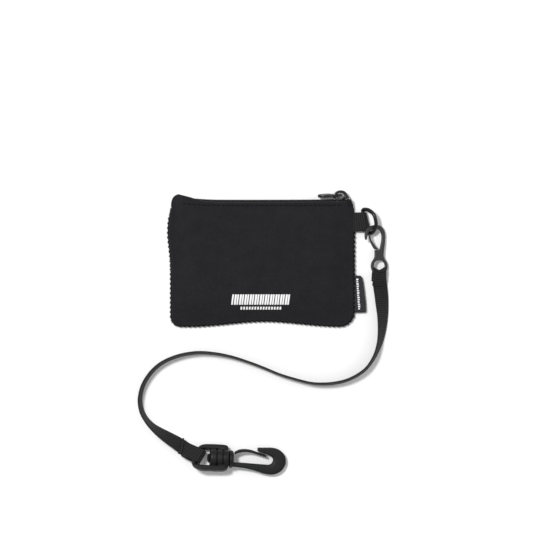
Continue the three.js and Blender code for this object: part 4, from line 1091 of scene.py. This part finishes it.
barrel_x = np.linspace(BARREL_START, BARREL_END, 90)
barrel_r = BARREL_RADIUS - sum(0.85 * np.exp(-((barrel_x - at) / 0.42) ** 4) for at in BARREL_GROOVES)
barrel_r -= 1.0 * np.exp(-(barrel_x - BARREL_START) / 0.35) + 0.8 * np.exp(-(BARREL_END - barrel_x) / 0.35)
barrel = lathe("base_barrel", np.stack([barrel_x, barrel_r], 1), on_base)
swivel_base = fused(joined("swivel_base_moulding", rails, barrel), 0.2, 4)
moulded = Finish("moulded_plastic", (0.0042, 0.0042, 0.0048, 1), 0.46, specular=0.30)
moulded.rough(moulded.ramp(moulded.noise(1.6, 4), 0.42, 0.62, 0.3, 0.7))
moulded.bump(moulded.noise(0.4, 3), 0.035)
settle(swivel_base, "swivel", "hook_plastic", moulded.material, "swivel_base")

clip_outer = smooth([
    (25.8, -4.9), (33.8, -5.6), (41, -7), (47, -8.7), (53, -9.1), (58, -7), (60.9, -3), (61.4, 0.6),
    (60, 4.6), (56.6, 7.6), (52.3, 8.7), (47, 8.6), (42.2, 8.4),
], 220)
clip_inner = smooth([
    (25.8, -1.9), (33.8, -2.1), (41, -2.4), (47, -2.6), (49.6, -2.7), (51.3, -2.2), (52.4, -1.0), (52.8, 0.4),
    (52.4, 1.8), (51.2, 3.0), (49.4, 3.8), (46.5, 4.7), (42.2, 5.9),
], 220)
clip_band = band("clip_band", clip_outer, clip_inner, 5.0, on_clip, squareness=4.5, around=32)
clip_stem = lathe("clip_stem", [
    (8.95, 1.6), (9.05, 2.2), (10.1, 3.4), (10.25, 2.6), (10.4, 2.4), (22, 2.4), (23.45, 2.5), (23.5, 5.2),
    (23.75, 5.75), (24.2, 5.85), (25.4, 5.8), (25.9, 5.5), (26.2, 4.9), (26.3, 3.5),
], on_clip)
swivel_clip = fused(joined("swivel_clip_moulding", clip_band, clip_stem), 0.2, 4)
settle(swivel_clip, "clip", "hook_plastic", moulded.material, "swivel_clip")

leaf_top = smooth([
    (27.0, 5.1), (30, 6.6), (33.5, 7.1), (37.5, 6.8), (40.7, 5.9), (44.5, 4.8), (47.9, 3.7),
], 120)
leaf_low = smooth([
    (27.0, 3.2), (30, 4.4), (33.5, 5.1), (37.5, 4.9), (40.5, 4.2), (44.3, 3.2), (47.9, 2.2),
], 120)
clip_leaf = fused(band("clip_gate_leaf", leaf_top, leaf_low, 4.0, on_clip, squareness=4.0), 0.13, 2)
settle(clip_leaf, "clip_gate", "hook_plastic", moulded.material, "swivel_gate")

low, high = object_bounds()
